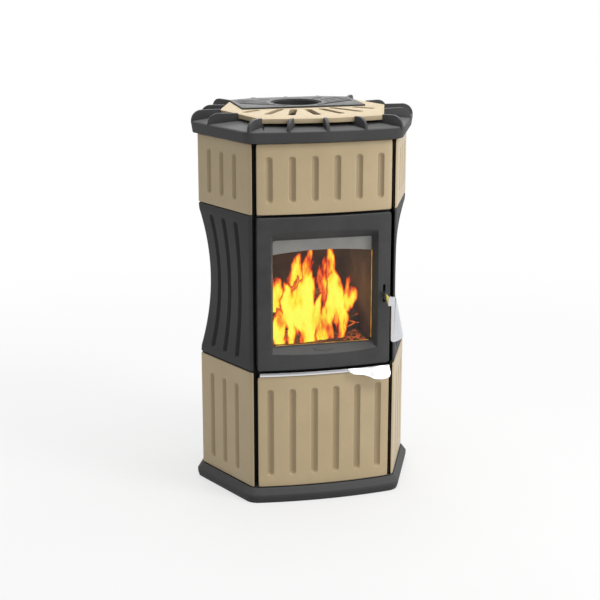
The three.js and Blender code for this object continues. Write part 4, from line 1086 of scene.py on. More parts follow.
@dataclass(frozen=True)
class Plan:
    """The stove's outline from above: six sides, with a bowed front."""

    front_half: float = 184.0
    corner_depth: float = 212.0
    widest_half: float = 274.7
    front_bow: float = 15.0
    corner_radius: float = 25.0
    widest_radius: float = 7.0
    panel_half: float = 170.3
    joint: float = 10.0
    tile_wall: float = 14.0
    panel_corner: float = 4.5
    bow_steps: int = 24
    fixed_reach: float = 180.0

    @property
    def bow_radius(self) -> float:
        """Radius of the bowed front."""
        return (self.front_half**2 + self.front_bow**2) / (2 * self.front_bow)

    @property
    def side_edge(self) -> float:
        """Where the side panels end, next to the joint."""
        return self.panel_half + self.joint

    def front_y(self, x: float) -> float:
        """Depth of the front face at x."""
        radius = self.bow_radius
        return -self.corner_depth - self.front_bow + radius - math.sqrt(radius**2 - x * x)

    def corners(self, pull: float = 0.0) -> list[Corner]:
        """The outline's corners.

        Args:
            pull: how far the widest corners are drawn in.

        Returns:
            The corners, counter-clockwise from the front left.
        """
        f, c, w = self.front_half, self.corner_depth, self.widest_half - pull
        big, small = self.corner_radius, self.widest_radius
        bow = [
            Corner(x, self.front_y(x))
            for x in (-f + 2 * f * i / self.bow_steps for i in range(1, self.bow_steps))
            if abs(x) < f - 20
        ]
        tail = traced((w, 0, small), (f, c, big), (-f, c, big), (-w, 0, small))
        return [Corner(-f, -c, big), *bow, Corner(f, -c, big), *tail]

    def outline(self, distance: float, pull: float = 0.0) -> list[Vector]:
        """The outline grown by a distance; pull draws the widest corners in."""
        return rounded(grown(self.corners(pull), distance), 8)

    def bend(self, end: int, pull: float) -> tuple[Vector, float, float, float]:
        """The rounded corner at one end of the right side.

        Args:
            end: -1 for the front corner and 1 for the back one.
            pull: how far the widest corner is drawn in.

        Returns:
            Its centre, the face's normal angle, the angle where the panel ends, and the distance
            from the widest corner to the start of the bend.
        """
        corner = Vector((self.front_half, end * self.corner_depth))
        widest = Vector((self.widest_half - pull, 0.0))
        away = (corner - widest).normalized()
        near = self.front_half * 0.75
        level_on = Vector((near, self.front_y(near) if end < 0 else self.corner_depth))
        beyond = (level_on - corner).normalized()
        half = (-away).angle(beyond) / 2
        centre = corner + (beyond - away).normalized() * (self.corner_radius / math.sin(half))
        face = end * math.atan2(abs(away.x), abs(away.y))
        edge = end * math.acos((self.side_edge - centre.x) / self.corner_radius)
        run = (corner - widest).length - self.corner_radius / math.tan(half)
        return centre, face, edge, run

    def side_reach(self, end: int) -> float:
        """Path length from the widest corner to the edge of a side panel."""
        _, face, edge, run = self.bend(end, 0.0)
        return run + self.corner_radius * abs(edge - face)

    def side_point(self, path: float, pull: float = 0.0) -> tuple[Vector, Vector]:
        """A point of the right side's face.

        Args:
            path: path length from the widest corner, negative towards the front.
            pull: how far the widest corner is drawn in.

        Returns:
            The point and the outward normal, both level.
        """
        end = -1 if path < 0 else 1
        centre, face, edge, run = self.bend(end, pull)
        run_at_rest = self.bend(end, 0.0)[3]
        distance = abs(path)
        if distance > run_at_rest:
            share = (distance - run_at_rest) / (self.side_reach(end) - run_at_rest)
            normal = unit(face + (edge - face) * share)
            return centre + normal * self.corner_radius, normal
        widest = Vector((self.widest_half - pull, 0.0))
        tangent = self.widest_radius * math.tan(abs(face))
        if distance < tangent:
            normal = unit(face * distance / tangent)
            middle = widest - Vector((self.widest_radius / math.cos(face), 0.0))
            return middle + normal * self.widest_radius, normal
        if distance > self.fixed_reach:
            share = (distance - self.fixed_reach) / (run_at_rest - self.fixed_reach)
            distance = self.fixed_reach + share * (run - self.fixed_reach)
        normal = unit(face)
        along = Vector((-abs(normal.y), end * normal.x))
        return widest + along * distance, normal


@dataclass(frozen=True)
class Flutes:
    """Scooped grooves with round ends."""

    centres: tuple[float, ...]
    foot: float
    head: float
    width: float = 18.0
    depth: float = 6.4
    softness: float = 0.7
    lip_share: float = 0.12

    @property
    def radius(self) -> float:
        """Radius of the scoop."""
        return (self.width**2 / 4 + self.depth**2) / (2 * self.depth)

    def sink(self, u: float, v: float) -> float:
        """Depth of the grooves at a point of the panel.

        Args:
            u: station across.
            v: station along.

        Returns:
            The depth, softened at the lips.
        """
        half = self.width / 2
        low, high = self.foot + half, self.head - half
        rise = max(low - v, v - high, 0.0)
        gap = min(math.hypot(u - centre, rise) for centre in self.centres)
        slope = half / (self.radius - self.depth)
        scoop = (half - gap) * slope
        if gap < half:
            scoop = math.sqrt(self.radius**2 - gap**2) - (self.radius - self.depth)
        return (scoop + math.sqrt(scoop**2 + self.softness**2)) / 2

    def across(self) -> list[float]:
        """Stations across the grooves."""
        steps = (0, 1.5, 3, 4.5, 6, 7.2, 8.2, 9, 9.8, 10.8, 12.5)
        return [spot + sign * step for spot in self.centres for step in steps for sign in (-1, 1)]

    def along(self) -> list[float]:
        """Stations along the grooves, close together at their ends."""
        steps = (-3.5, -1.8, -0.8, 0, 0.8, 1.8, 3, 4.5, 6.5, 9)
        return [*(self.foot + s for s in steps), *(self.head - s for s in steps)]

    def lip(self, u: float, v: float) -> float:
        """One on the lip of a groove, and nought in it and away from it."""
        return max(0.0, 1.0 - abs(self.sink(u, v) / self.depth - self.lip_share) / self.lip_share)

    def colour(self, bm: Mesh) -> None:
        """Marks hollows and lips of a panel for its finish: painted shade in the hollows and
        painted highlight on the lips, with gathered and thin glaze on tiles.
        """
        paint(bm, "hollow", lambda u, v: min(self.sink(u, v) / self.depth, 1.0))
        paint(bm, "lip", self.lip)


# ---- Shell ----


@dataclass
class Shell:
    """Tiles, side castings and plinth of the stove."""

    plan: Plan
    finishes: Finishes
    edge: float = 2.6
    groove_foot: float = 29.0
    groove_head: float = 31.0
    side_groove_head: float = 43.0
    casting_foot: float = 19.5
    casting_head: float = 23.0
    casting_wall: float = 8.0
    casting_waist: float = 28.0
    casting_lip: float = 12.0
    side_grooves: tuple[float, ...] = (50.0, 105.0, 160.0)
    front_grooves: tuple[float, ...] = (-140.0, -84.0, -28.0, 28.0, 84.0, 140.0)
    plinth_shade: float = 0.45
    plinth_groove: float = 3.5
    plinth_roof: float = 10.0
    boss_radius: float = 32.0

    @property
    def side_centres(self) -> tuple[float, ...]:
        """Path lengths of the grooves on both faces of a side."""
        return tuple(sign * path for path in self.side_grooves for sign in (-1, 1))

    def build(self) -> None:
        """Builds every piece of the shell."""
        self.plinth()
        for side in Side:
            self.side_tile(side, "lower_tile", self.side_groove_head)
            self.side_tile(side, "upper_tile", self.groove_head)
            self.side_casting(side)
        self.front_tile()

    def _side_panel(
        self,
        side: Side,
        levels: Pair,
        flutes: Flutes,
        wall: float,
        pull: Callable[[float], float],
    ) -> Mesh:
        """A grooved panel that wraps one side of the stove.

        Args:
            side: which side.
            levels: its foot and top.
            flutes: its grooves, by path length from the widest corner.
            wall: its thickness.
            pull: how far the widest corner is drawn in at a level.

        Returns:
            The panel's mesh.
        """
        foot, top = levels
        front, back = -self.plan.side_reach(-1), self.plan.side_reach(1)
        bend = self.plan.corner_radius
        us = stations(
            edge_stations(front, back, self.edge),
            flutes.across(),
            spread(front, front + bend, 3.5),
            spread(back - bend - 5, back, 3.5),
            spread(-self.plan.widest_radius, self.plan.widest_radius, 1.0),
            spread(front + bend, back - bend, 14.0),
        )
        vs = stations(edge_stations(foot, top, self.edge), flutes.along(), spread(foot, top, 16.0))

        def place(u: float, v: float, is_back: bool) -> Vector:
            """Places a point of the panel.

            Args:
                u: station across.
                v: station along.
                is_back: whether the point lies on the back.

            Returns:
                The point.
            """
            across, along = tuck(u, v, (front, back), levels, self.plan.panel_corner)
            point, normal = self.plan.side_point(across, pull(along))
            depth = wall
            if not is_back:
                depth = flutes.sink(u, v)
                depth += edge_fall(min(u - front, back - u), self.edge)
                depth += edge_fall(min(v - foot, top - v), self.edge)
            spot = point - normal * depth
            return Vector((max(spot.x, self.plan.side_edge) * side.value, spot.y, along))

        bm = panel(us, vs, place)
        flutes.colour(bm)
        shade_rims(bm)
        return bm

    def side_tile(self, side: Side, course: str, head_gap: float) -> None:
        """Builds a grooved side tile.

        Args:
            side: which side.
            course: name of its course of tiles.
            head_gap: bare height above its grooves.
        """
        node = f"{course}_{side.word}"
        foot, top = span(node)
        flutes = Flutes(self.side_centres, foot + self.groove_foot, top - head_gap)
        bm = self._side_panel(side, (foot, top), flutes, self.plan.tile_wall, lambda _: 0.0)
        name = f"{course}_shell_{side.word}"
        publish(bm, name, Body.ROOT, self.finishes.tile, [node])

    def side_casting(self, side: Side) -> None:
        """Builds the waisted casting of one side.

        Args:
            side: which side.
        """
        foot = level(f"lower_tile_{side.word}", True) + 4.3
        top = level(f"upper_tile_{side.word}", False) - 2.5
        middle, reach = (foot + top) / 2, (top - foot) / 2 - self.casting_lip

        def pull(z: float) -> float:
            """How far the widest corner is drawn in at a level."""
            share = min(abs(z - middle) / reach, 1.0)
            return self.casting_waist * (1 - share * share)

        flutes = Flutes(self.side_centres, foot + self.casting_foot, top - self.casting_head)
        bm = self._side_panel(side, (foot, top), flutes, self.casting_wall, pull)
        levels = ((foot - 4.0, foot + 6.0), (top - 6.0, top + 2.2))
        tongues = [self._tongue(side, *ends) for ends in levels]
        name, node = f"waisted_casting_{side.word}", f"side_casting_{side.word}"
        publish(merge([bm, *tongues]), name, Body.ROOT, self.finishes.side, [node])

    def _tongue(self, side: Side, foot: float, top: float) -> Mesh:
        """A thin ledge that carries the next course, set back from the face.

        Args:
            side: which side.
            foot: its lower level.
            top: its upper level.

        Returns:
            The ledge's mesh.
        """
        front, back = -self.plan.side_reach(-1), self.plan.side_reach(1)

        def place(u: float, v: float, is_back: bool) -> Vector:
            """Places a point of the ledge.

            Args:
                u: station across.
                v: station along.
                is_back: whether the point lies on the back.

            Returns:
                The point.
            """
            point, normal = self.plan.side_point(u)
            spot = point - normal * (7.0 if is_back else 3.0)
            return Vector((spot.x * side.value, spot.y, v))

        bm = panel(spread(front, back, 6.0), [foot, top], place)
        # Painted shade: the whole ledge is dark, as it lies in the shadow of the joint.
        paint(bm, "seam", lambda u, v: 1.0)
        return bm

    def front_tile(self) -> None:
        """Builds the tile over the fire door."""
        node = "upper_tile_front"
        foot, top = span(node)
        flutes = Flutes(self.front_grooves, foot + self.groove_foot, top - self.groove_head)
        bm = front_panel(self.plan, foot, top, flutes, self.edge, lambda x, z: self.plan.tile_wall)
        publish(bm, "upper_tile_face", Body.ROOT, self.finishes.tile, [node])

    def plinth(self) -> None:
        """Builds the flared cast plinth, hollow under a roof with ribs and a boss."""
        top = level("base_plinth", True)
        fine = top - self.plinth_groove
        corners = traced(
            (-12, 0), (11, 0, 1.5), (14.4, 11, 12), (15, 21.5, 3.5), (4, top - 1.6, 4),
            (2, top, 1), (1.2, fine, 0.5), (-1.8, fine, 0.5), (-2.2, top, 0.3), (-12, top),
        )
        section = rounded(corners, 5)
        bm = ring([self.plan.outline(p.x) for p in section], [p.y for p in section])
        # Painted shade on the plinth's lower face, near the floor.
        shade = bm.verts.layers.float.new("hollow")
        for vert in bm.verts:
            vert[shade] = self.plinth_shade if vert.co.z < 20 else 0.0
        roof = plate(self.plan.outline(-11.5), top - self.plinth_roof, top)
        under = top - self.plinth_roof / 2
        across, along, thin = self.plan.widest_half, self.plan.corner_depth, 4.5
        bars = [
            box((-across, across), (-thin, thin), (0, under)),
            box((-thin, thin), (-along, along), (0, under)),
        ]
        boss = plate(circle(self.boss_radius, 40), 0, under)
        whole = merge([bm, roof, *bars, boss])
        finish = self.finishes.casting
        publish(whole, "plinth_casting", Body.ROOT, finish, ["base_plinth"])


def circle(radius: float, count: int, depth: float = 0.0) -> list[Vector]:
    """Points round a circle whose centre lies at a depth."""
    angles = (2 * math.pi * i / count for i in range(count))
    return [Vector((radius * math.cos(a), depth + radius * math.sin(a))) for a in angles]


def box(xs: Pair, ys: Pair, zs: Pair) -> Mesh:
    """A block between two values on each axis.

    Args:
        xs: left and right.
        ys: front and back.
        zs: foot and top.

    Returns:
        The mesh.
    """
    bm = bmesh.new()
    bmesh.ops.create_cube(bm, size=1.0)
    lengths = [high - low for low, high in (xs, ys, zs)]
    middle = [(high + low) / 2 for low, high in (xs, ys, zs)]
    bmesh.ops.scale(bm, vec=lengths, verts=bm.verts)
    bmesh.ops.translate(bm, vec=middle, verts=bm.verts)
    return bm


def front_panel(
    plan: Plan,
    foot: float,
    top: float,
    flutes: Flutes,
    edge: float,
    wall: Callable[[float, float], float],
    extra: tuple[Sequence[float], Sequence[float]] = ((), ()),
) -> Mesh:
    """A grooved panel of the bowed front.

    Args:
        plan: the stove's plan.
        foot: its lower level.
        top: its upper level.
        flutes: its grooves.
        edge: radius of its edges.
        wall: its thickness at x and z.
        extra: more stations across and along.

    Returns:
        The panel's mesh.
    """
    half = plan.panel_half
    ends, sides = edge_stations(-half, half, edge), edge_stations(foot, top, edge)
    us = stations(ends, flutes.across(), spread(-half, half, 12.0), extra[0])
    vs = stations(sides, flutes.along(), spread(foot, top, 16.0), extra[1])

    def place(u: float, v: float, is_back: bool) -> Vector:
        """Places a point of the panel.

        Args:
            u: station across.
            v: station along.
            is_back: whether the point lies on the back.

        Returns:
            The point.
        """
        depth = wall(u, v)
        if not is_back:
            depth = flutes.sink(u, v)
            depth += edge_fall(half - abs(u), edge) + edge_fall(min(v - foot, top - v), edge)
        across, along = tuck(u, v, (-half, half), (foot, top), plan.panel_corner)
        return Vector((across, plan.front_y(across) + depth, along))

    bm = panel(us, vs, place)
    flutes.colour(bm)
    shade_rims(bm)
    return bm


# ---- Top ----


@dataclass(frozen=True)
class Rib:
    """Where a rib of the top starts on the rim and where it ends under the plate."""

    outer: Pair
    inner: Pair

    def mirrored(self) -> Rib:
        """The same rib on the left."""
        return Rib((-self.outer[0], self.outer[1]), (-self.inner[0], self.inner[1]))


@dataclass
class Top:
    """Ribbed top casting with the tile plate, the grille and the flue collar."""

    plan: Plan
    finishes: Finishes
    rim_flare: float = 16.0
    rim_foot: float = 12.0
    rim_height: float = 29.0
    deck_width: float = 78.0
    deck_rise: float = 12.5
    deck_wall: float = 5.0
    rib_width: float = 8.0
    rib_rise: float = 27.0
    rib_ledge: float = 14.0
    back_lift: float = 2.0
    plate_front: Pair = (154.0, -189.0)
    plate_tip: Pair = (215.0, 4.0)
    plate_back: Pair = (163.0, 150.0)
    plate_bow: float = 21.0
    plate_slack: float = 0.5
    bar_half: float = 150.0
    bar_wall: float = 4.0
    slot_width: float = 19.0
    slot_span: Pair = (118.0, 229.0)
    slot_turns: tuple[float, ...] = (0.0, 16.5, -16.5, 32.0, -32.0)
    side_slot_span: Pair = (160.0, 222.0)
    side_slot_turns: tuple[float, ...] = (49.5, -49.5)
    grille_slots: int = 6
    grille_pitch: float = 25.0
    grille_slot: float = 8.0
    grille_lean: float = 0.62
    grille_reach: float = 150.0
    grille_wall: float = 11.0
    flue_depth: float = 82.0
    flue_bore: float = 60.0
    flue_wall: float = 4.0

    def build(self) -> None:
        """Builds the whole top."""
        self.casting()
        self.tile_plate()
        self.grille()
        self.collar()

    def plate_corners(self) -> list[Corner]:
        """Outline of the tile plate, with its bowed front.

        Returns:
            The corners, counter-clockwise from the front left.
        """
        (half, edge), bow = self.plate_front, self.plate_bow
        radius = (half * half + bow * bow) / (2 * bow)
        xs = [-half + 2 * half * i / 16 for i in range(1, 16)]
        front = [Corner(x, edge - bow + radius - math.sqrt(radius**2 - x * x)) for x in xs]
        right = traced((half, edge, 3), (*self.plate_tip, 6), (*self.plate_back, 1))
        left = [Corner(-corner.x, corner.y, corner.radius) for corner in reversed(right)]
        return [left[-1], *front, *right, *left[:-1]]

    @staticmethod
    def grille_corners() -> list[Corner]:
        """Outline of the grille, counter-clockwise from the front right."""
        return traced((160, -8), (160, 160), (92, 190), (-92, 190), (-160, 160), (-160, -8))

    def ribs(self) -> list[Rib]:
        """Places of all ribs.

        Returns:
            The ribs of both sides and the two in the middle.
        """
        plan = self.plan
        rim = self.rim_flare - 1
        normal = Vector((plan.corner_depth, plan.widest_half - plan.front_half)).normalized()

        def on_side(share: float, end: int) -> Pair:
            """A place on the rim over the side, by its share of the way to the widest corner."""
            x = plan.front_half + (plan.widest_half - plan.front_half) * share + rim * normal.x
            return x, end * (plan.corner_depth * (1 - share) + rim * normal.y)

        def on_plate(share: float, corner: Pair) -> Pair:
            """A place on the plate's edge, by its share of the way from a corner to the tip."""
            x, y = (near + (far - near) * share for near, far in zip(corner, self.plate_tip))
            return x, y

        corner = (plan.front_half + rim * 0.5, plan.corner_depth + rim * 0.8)
        half = [
            Rib((corner[0], -corner[1]), self.plate_front),
            Rib((97, plan.front_y(97) - rim), (79, -205)),
            Rib(on_side(0.7, -1), on_plate(0.55, self.plate_front)),
            Rib((plan.widest_half + rim, 0), self.plate_tip),
            Rib(on_side(0.56, 1), on_plate(0.48, self.plate_back)),
            Rib(corner, (160, 160)),
            Rib((92, plan.corner_depth + rim), (86, 190)),
        ]
        middle = [
            Rib((0, plan.front_y(0) - rim), (0, -210)),
            Rib((0, plan.corner_depth + rim), (0, 190)),
        ]
        return [*half, *(rib.mirrored() for rib in half), *middle]

    def rib(self, place: Rib, rim_top: float) -> Mesh:
        """A rib with a quarter-round outer end.

        Args:
            place: where it stands.
            rim_top: level of the rim.

        Returns:
            The rib's mesh.
        """
        outer, inner = Vector(place.outer), Vector(place.inner)
        length = (inner - outer).length
        rise = self.rib_rise + (self.back_lift if outer.y > 180 else 0.0)
        curve = min(rise, length * 0.8)
        foot = rim_top - self.deck_wall
        arc = [math.radians(90 * i / 8) for i in range(9)]
        profile = [
            Vector((0, foot)),
            *(Vector((curve - curve * math.cos(a), rim_top + rise * math.sin(a))) for a in arc),
            Vector((length + self.rib_ledge, rim_top + rise)),
            Vector((length + self.rib_ledge, foot)),
        ]
        bm = plate(profile, -self.rib_width / 2, self.rib_width / 2)
        turn = Matrix.Rotation(math.atan2(inner.y - outer.y, inner.x - outer.x), 4, "Z")
        stand = Matrix.Rotation(math.radians(90), 4, "X")
        spot = Matrix.Translation((outer.x, outer.y, 0.0))
        bmesh.ops.transform(bm, matrix=spot @ turn @ stand, verts=bm.verts)
        return bm

    def casting(self) -> None:
        """Builds the flared rim with its deck, seating ring, ribs and bars."""
        tile_top = level("upper_tile_front", True)
        foot = tile_top + 2.0
        rim_top = foot + self.rim_height
        under = rim_top - self.deck_wall
        toe, flare, deck = self.rim_foot, self.rim_flare, -self.deck_width
        corners = traced(
            (toe - 8, foot, 1), (toe, foot, 2.5), (flare, rim_top - 3, 3.5),
            (flare - 4, rim_top + 0.4, 4), (deck, rim_top + self.deck_rise, 1),
            (deck, under, 1), (toe - 8, under, 1),
        )
        section = rounded(corners, 4)
        rim = ring([self.plan.outline(p.x) for p in section], [p.y for p in section])
        seat = [(-3, tile_top + SEAT), (-3, under + 2), (-7, under + 2), (-7, tile_top + SEAT)]
        seating = ring([self.plan.outline(offset) for offset, _ in seat], [z for _, z in seat])
        plate_foot, grille_foot = level("top_plate", False), level("top_grille", False)
        rows = ((self.plate_corners(), plate_foot), (self.grille_corners(), grille_foot))
        pockets = [
            plate(rounded(grown(edge, self.plate_slack)), low - SEAT, rim_top + 60)
            for edge, low in rows
        ]
        fins = carve(merge(self.rib(place, rim_top) for place in self.ribs()), pockets)
        soften(fins, 2.3, 3)
        bars = []
        for side in Side:
            middle = side.value * self.bar_half
            xs = (middle - self.bar_wall, middle + self.bar_wall)
            bars.append(box(xs, (-165, 160), (under, plate_foot - SEAT)))
            bars.append(box(xs, (-7.7, 120), (rim_top, grille_foot - SEAT)))
        whole = merge([rim, seating, fins, *bars])
        publish(whole, "ribbed_top", Body.ROOT, self.finishes.casting, ["top_casting"])

    def radial_slot(self, degrees: float, reach: Pair, levels: Pair) -> Mesh:
        """A round-ended slot that points away from the flue.

        Args:
            degrees: its turn from the front.
            reach: its nearest and farthest distance from the flue.
            levels: its foot and top.

        Returns:
            The slot's solid.
        """
        angle, half = math.radians(degrees - 90), self.slot_width / 2
        outline = []
        for centre, start in ((reach[1] - half, -90), (reach[0] + half, 90)):
            for step in range(9):
                turn = math.radians(start + 180 * step / 8)
                outline.append(Vector((centre + half * math.cos(turn), half * math.sin(turn))))
        bm = plate(outline, *levels)
        place = Matrix.Translation((0.0, self.flue_depth, 0.0)) @ Matrix.Rotation(angle, 4, "Z")
        bmesh.ops.transform(bm, matrix=place, verts=bm.verts)
        return bm

    def tile_plate(self) -> None:
        """Builds the glazed plate with its radial slots and the notch for the grille."""
        foot, top = span("top_plate")
        cut = (foot - CUT, top + CUT)
        slots = [self.radial_slot(turn, self.slot_span, cut) for turn in self.slot_turns]
        slots += [self.radial_slot(turn, self.side_slot_span, cut) for turn in self.side_slot_turns]
        notch = box((-161, 161), (-9, 300), cut)
        bm = carve(plate(rounded(self.plate_corners()), foot, top), [*slots, notch])
        soften(bm, 2.4, 3)
        publish(bm, "glazed_plate", Body.ROOT, self.finishes.plate, ["top_plate"])

    def grille(self) -> None:
        """Builds the cast grille with slanting slots."""
        foot, top = span("top_grille")
        cut = (foot - CUT, top + CUT)
        radius = self.flue_bore + self.flue_wall + 2
        hole = plate(circle(radius, 64, self.flue_depth), *cut)
        width, lean, reach = self.grille_slot, self.grille_lean, self.grille_reach
        slots = []
        for side in Side:
            for i in range(self.grille_slots):
                y = width + self.grille_pitch * i
                near = max(abs(y - self.flue_depth), abs(y + width - self.flue_depth)) - width
                start = math.sqrt((radius + self.grille_wall) ** 2 - near**2)
                high = min(y + (reach - start) * lean, reach)
                end = start + (high - y) / lean
                corners = [(start, y), (end, high), (end, high + width), (start, y + width)]
                slots.append(plate([Vector((x * side.value, v)) for x, v in corners], *cut))
        bm = carve(plate([c.point for c in self.grille_corners()], foot, top), [hole, *slots])
        soften(bm, 1.0, 2)
        # Painted shade on the grille's slot walls and underside.
        shade_below(bm, top - 2.2)
        publish(bm, "flue_grille", Body.ROOT, self.finishes.casting, ["top_grille"])

    def collar(self) -> None:
        """Spins the flue collar."""
        foot, top = span("flue_collar")
        bore, outer = self.flue_bore, self.flue_bore + self.flue_wall
        flange = foot + 10.3
        brim, ledge = outer + 14, flange + 4
        corners = traced(
            (bore, foot), (outer, foot), (outer, flange), (brim, flange, 1),
            (brim, ledge, 1), (outer, ledge, 1.5), (outer, top, 1.6), (bore, top, 1.6),
        )
        bm = bmesh.new()
        loop = [bm.verts.new((p.x, 0.0, p.y)) for p in rounded(corners, 4)]
        edges = [bm.edges.new((first, second)) for first, second in zip(loop, loop[1:] + loop[:1])]
        bmesh.ops.spin(
            bm,
            geom=[*loop, *edges],
            cent=(0.0, 0.0, 0.0),
            axis=(0.0, 0.0, 1.0),
            angle=2 * math.pi,
            steps=96,
            use_merge=True,
        )
        bmesh.ops.translate(bm, vec=(0.0, self.flue_depth, 0.0), verts=bm.verts)
        bmesh.ops.recalc_face_normals(bm, faces=bm.faces)
        publish(bm, "flue_spigot", Body.ROOT, self.finishes.black, ["flue_collar"])


# ---- Doors ----


def soft_max(first: float, second: float, softness: float) -> float:
    """The larger of two values, with a round change from one to the other."""
    return (first + second + math.hypot(first - second, softness)) / 2


def turned(bm: Mesh, turn: Matrix) -> Mesh:
    """Turns a mesh about the origin and returns it."""
    bmesh.ops.rotate(bm, cent=(0.0, 0.0, 0.0), matrix=turn, verts=bm.verts)
    return bm


def upright_plate(points: Sequence[Vector], front: float, back: float) -> Mesh:
    """A plate on an outline of x and z points, between two depths."""
    return turned(plate(points, -back, -front), Matrix.Rotation(math.radians(90), 3, "X"))


def side_plate(points: Sequence[Vector], left: float, right: float) -> Mesh:
    """A plate on an outline of y and z points, between two places across."""
    return turned(plate(points, left, right), Matrix(((0, 0, 1), (1, 0, 0), (0, 1, 0))))


def lay(bm: Mesh, start: Vector, end: Vector) -> None:
    """Turns an upright body that is centred on the origin along the line between two points."""
    turn = (end - start).to_track_quat("Z", "Y").to_matrix().to_4x4()
    bmesh.ops.transform(bm, matrix=Matrix.Translation((start + end) / 2) @ turn, verts=bm.verts)


def bar(start: Vector, end: Vector, radii: Pair, segments: int) -> Mesh:
    """An upright round bar as long as the way between two points.

    Args:
        start: the first point.
        end: the second point.
        radii: radius at each end.
        segments: its faces round.

    Returns:
        The mesh.
    """
    bm = bmesh.new()
    bmesh.ops.create_cone(
        bm,
        cap_ends=True,
        segments=segments,
        radius1=radii[0],
        radius2=radii[1],
        depth=(end - start).length,
    )
    return bm


def rod(radius: float, start: Vector, end: Vector) -> Mesh:
    """A round bar between two points.

    Args:
        radius: its radius.
        start: the first point.
        end: the second point.

    Returns:
        The mesh.
    """
    bm = bar(start, end, (radius, radius), 24)
    lay(bm, start, end)
    return bm


def rectangle(xs: Pair, zs: Pair, radii: Pair) -> list[Corner]:
    """A rectangle with one radius for its lower and one for its upper corners."""
    low, high = ([Corner(x, z, radius) for x in xs] for z, radius in zip(zs, radii))
    return [*low, *reversed(high)]


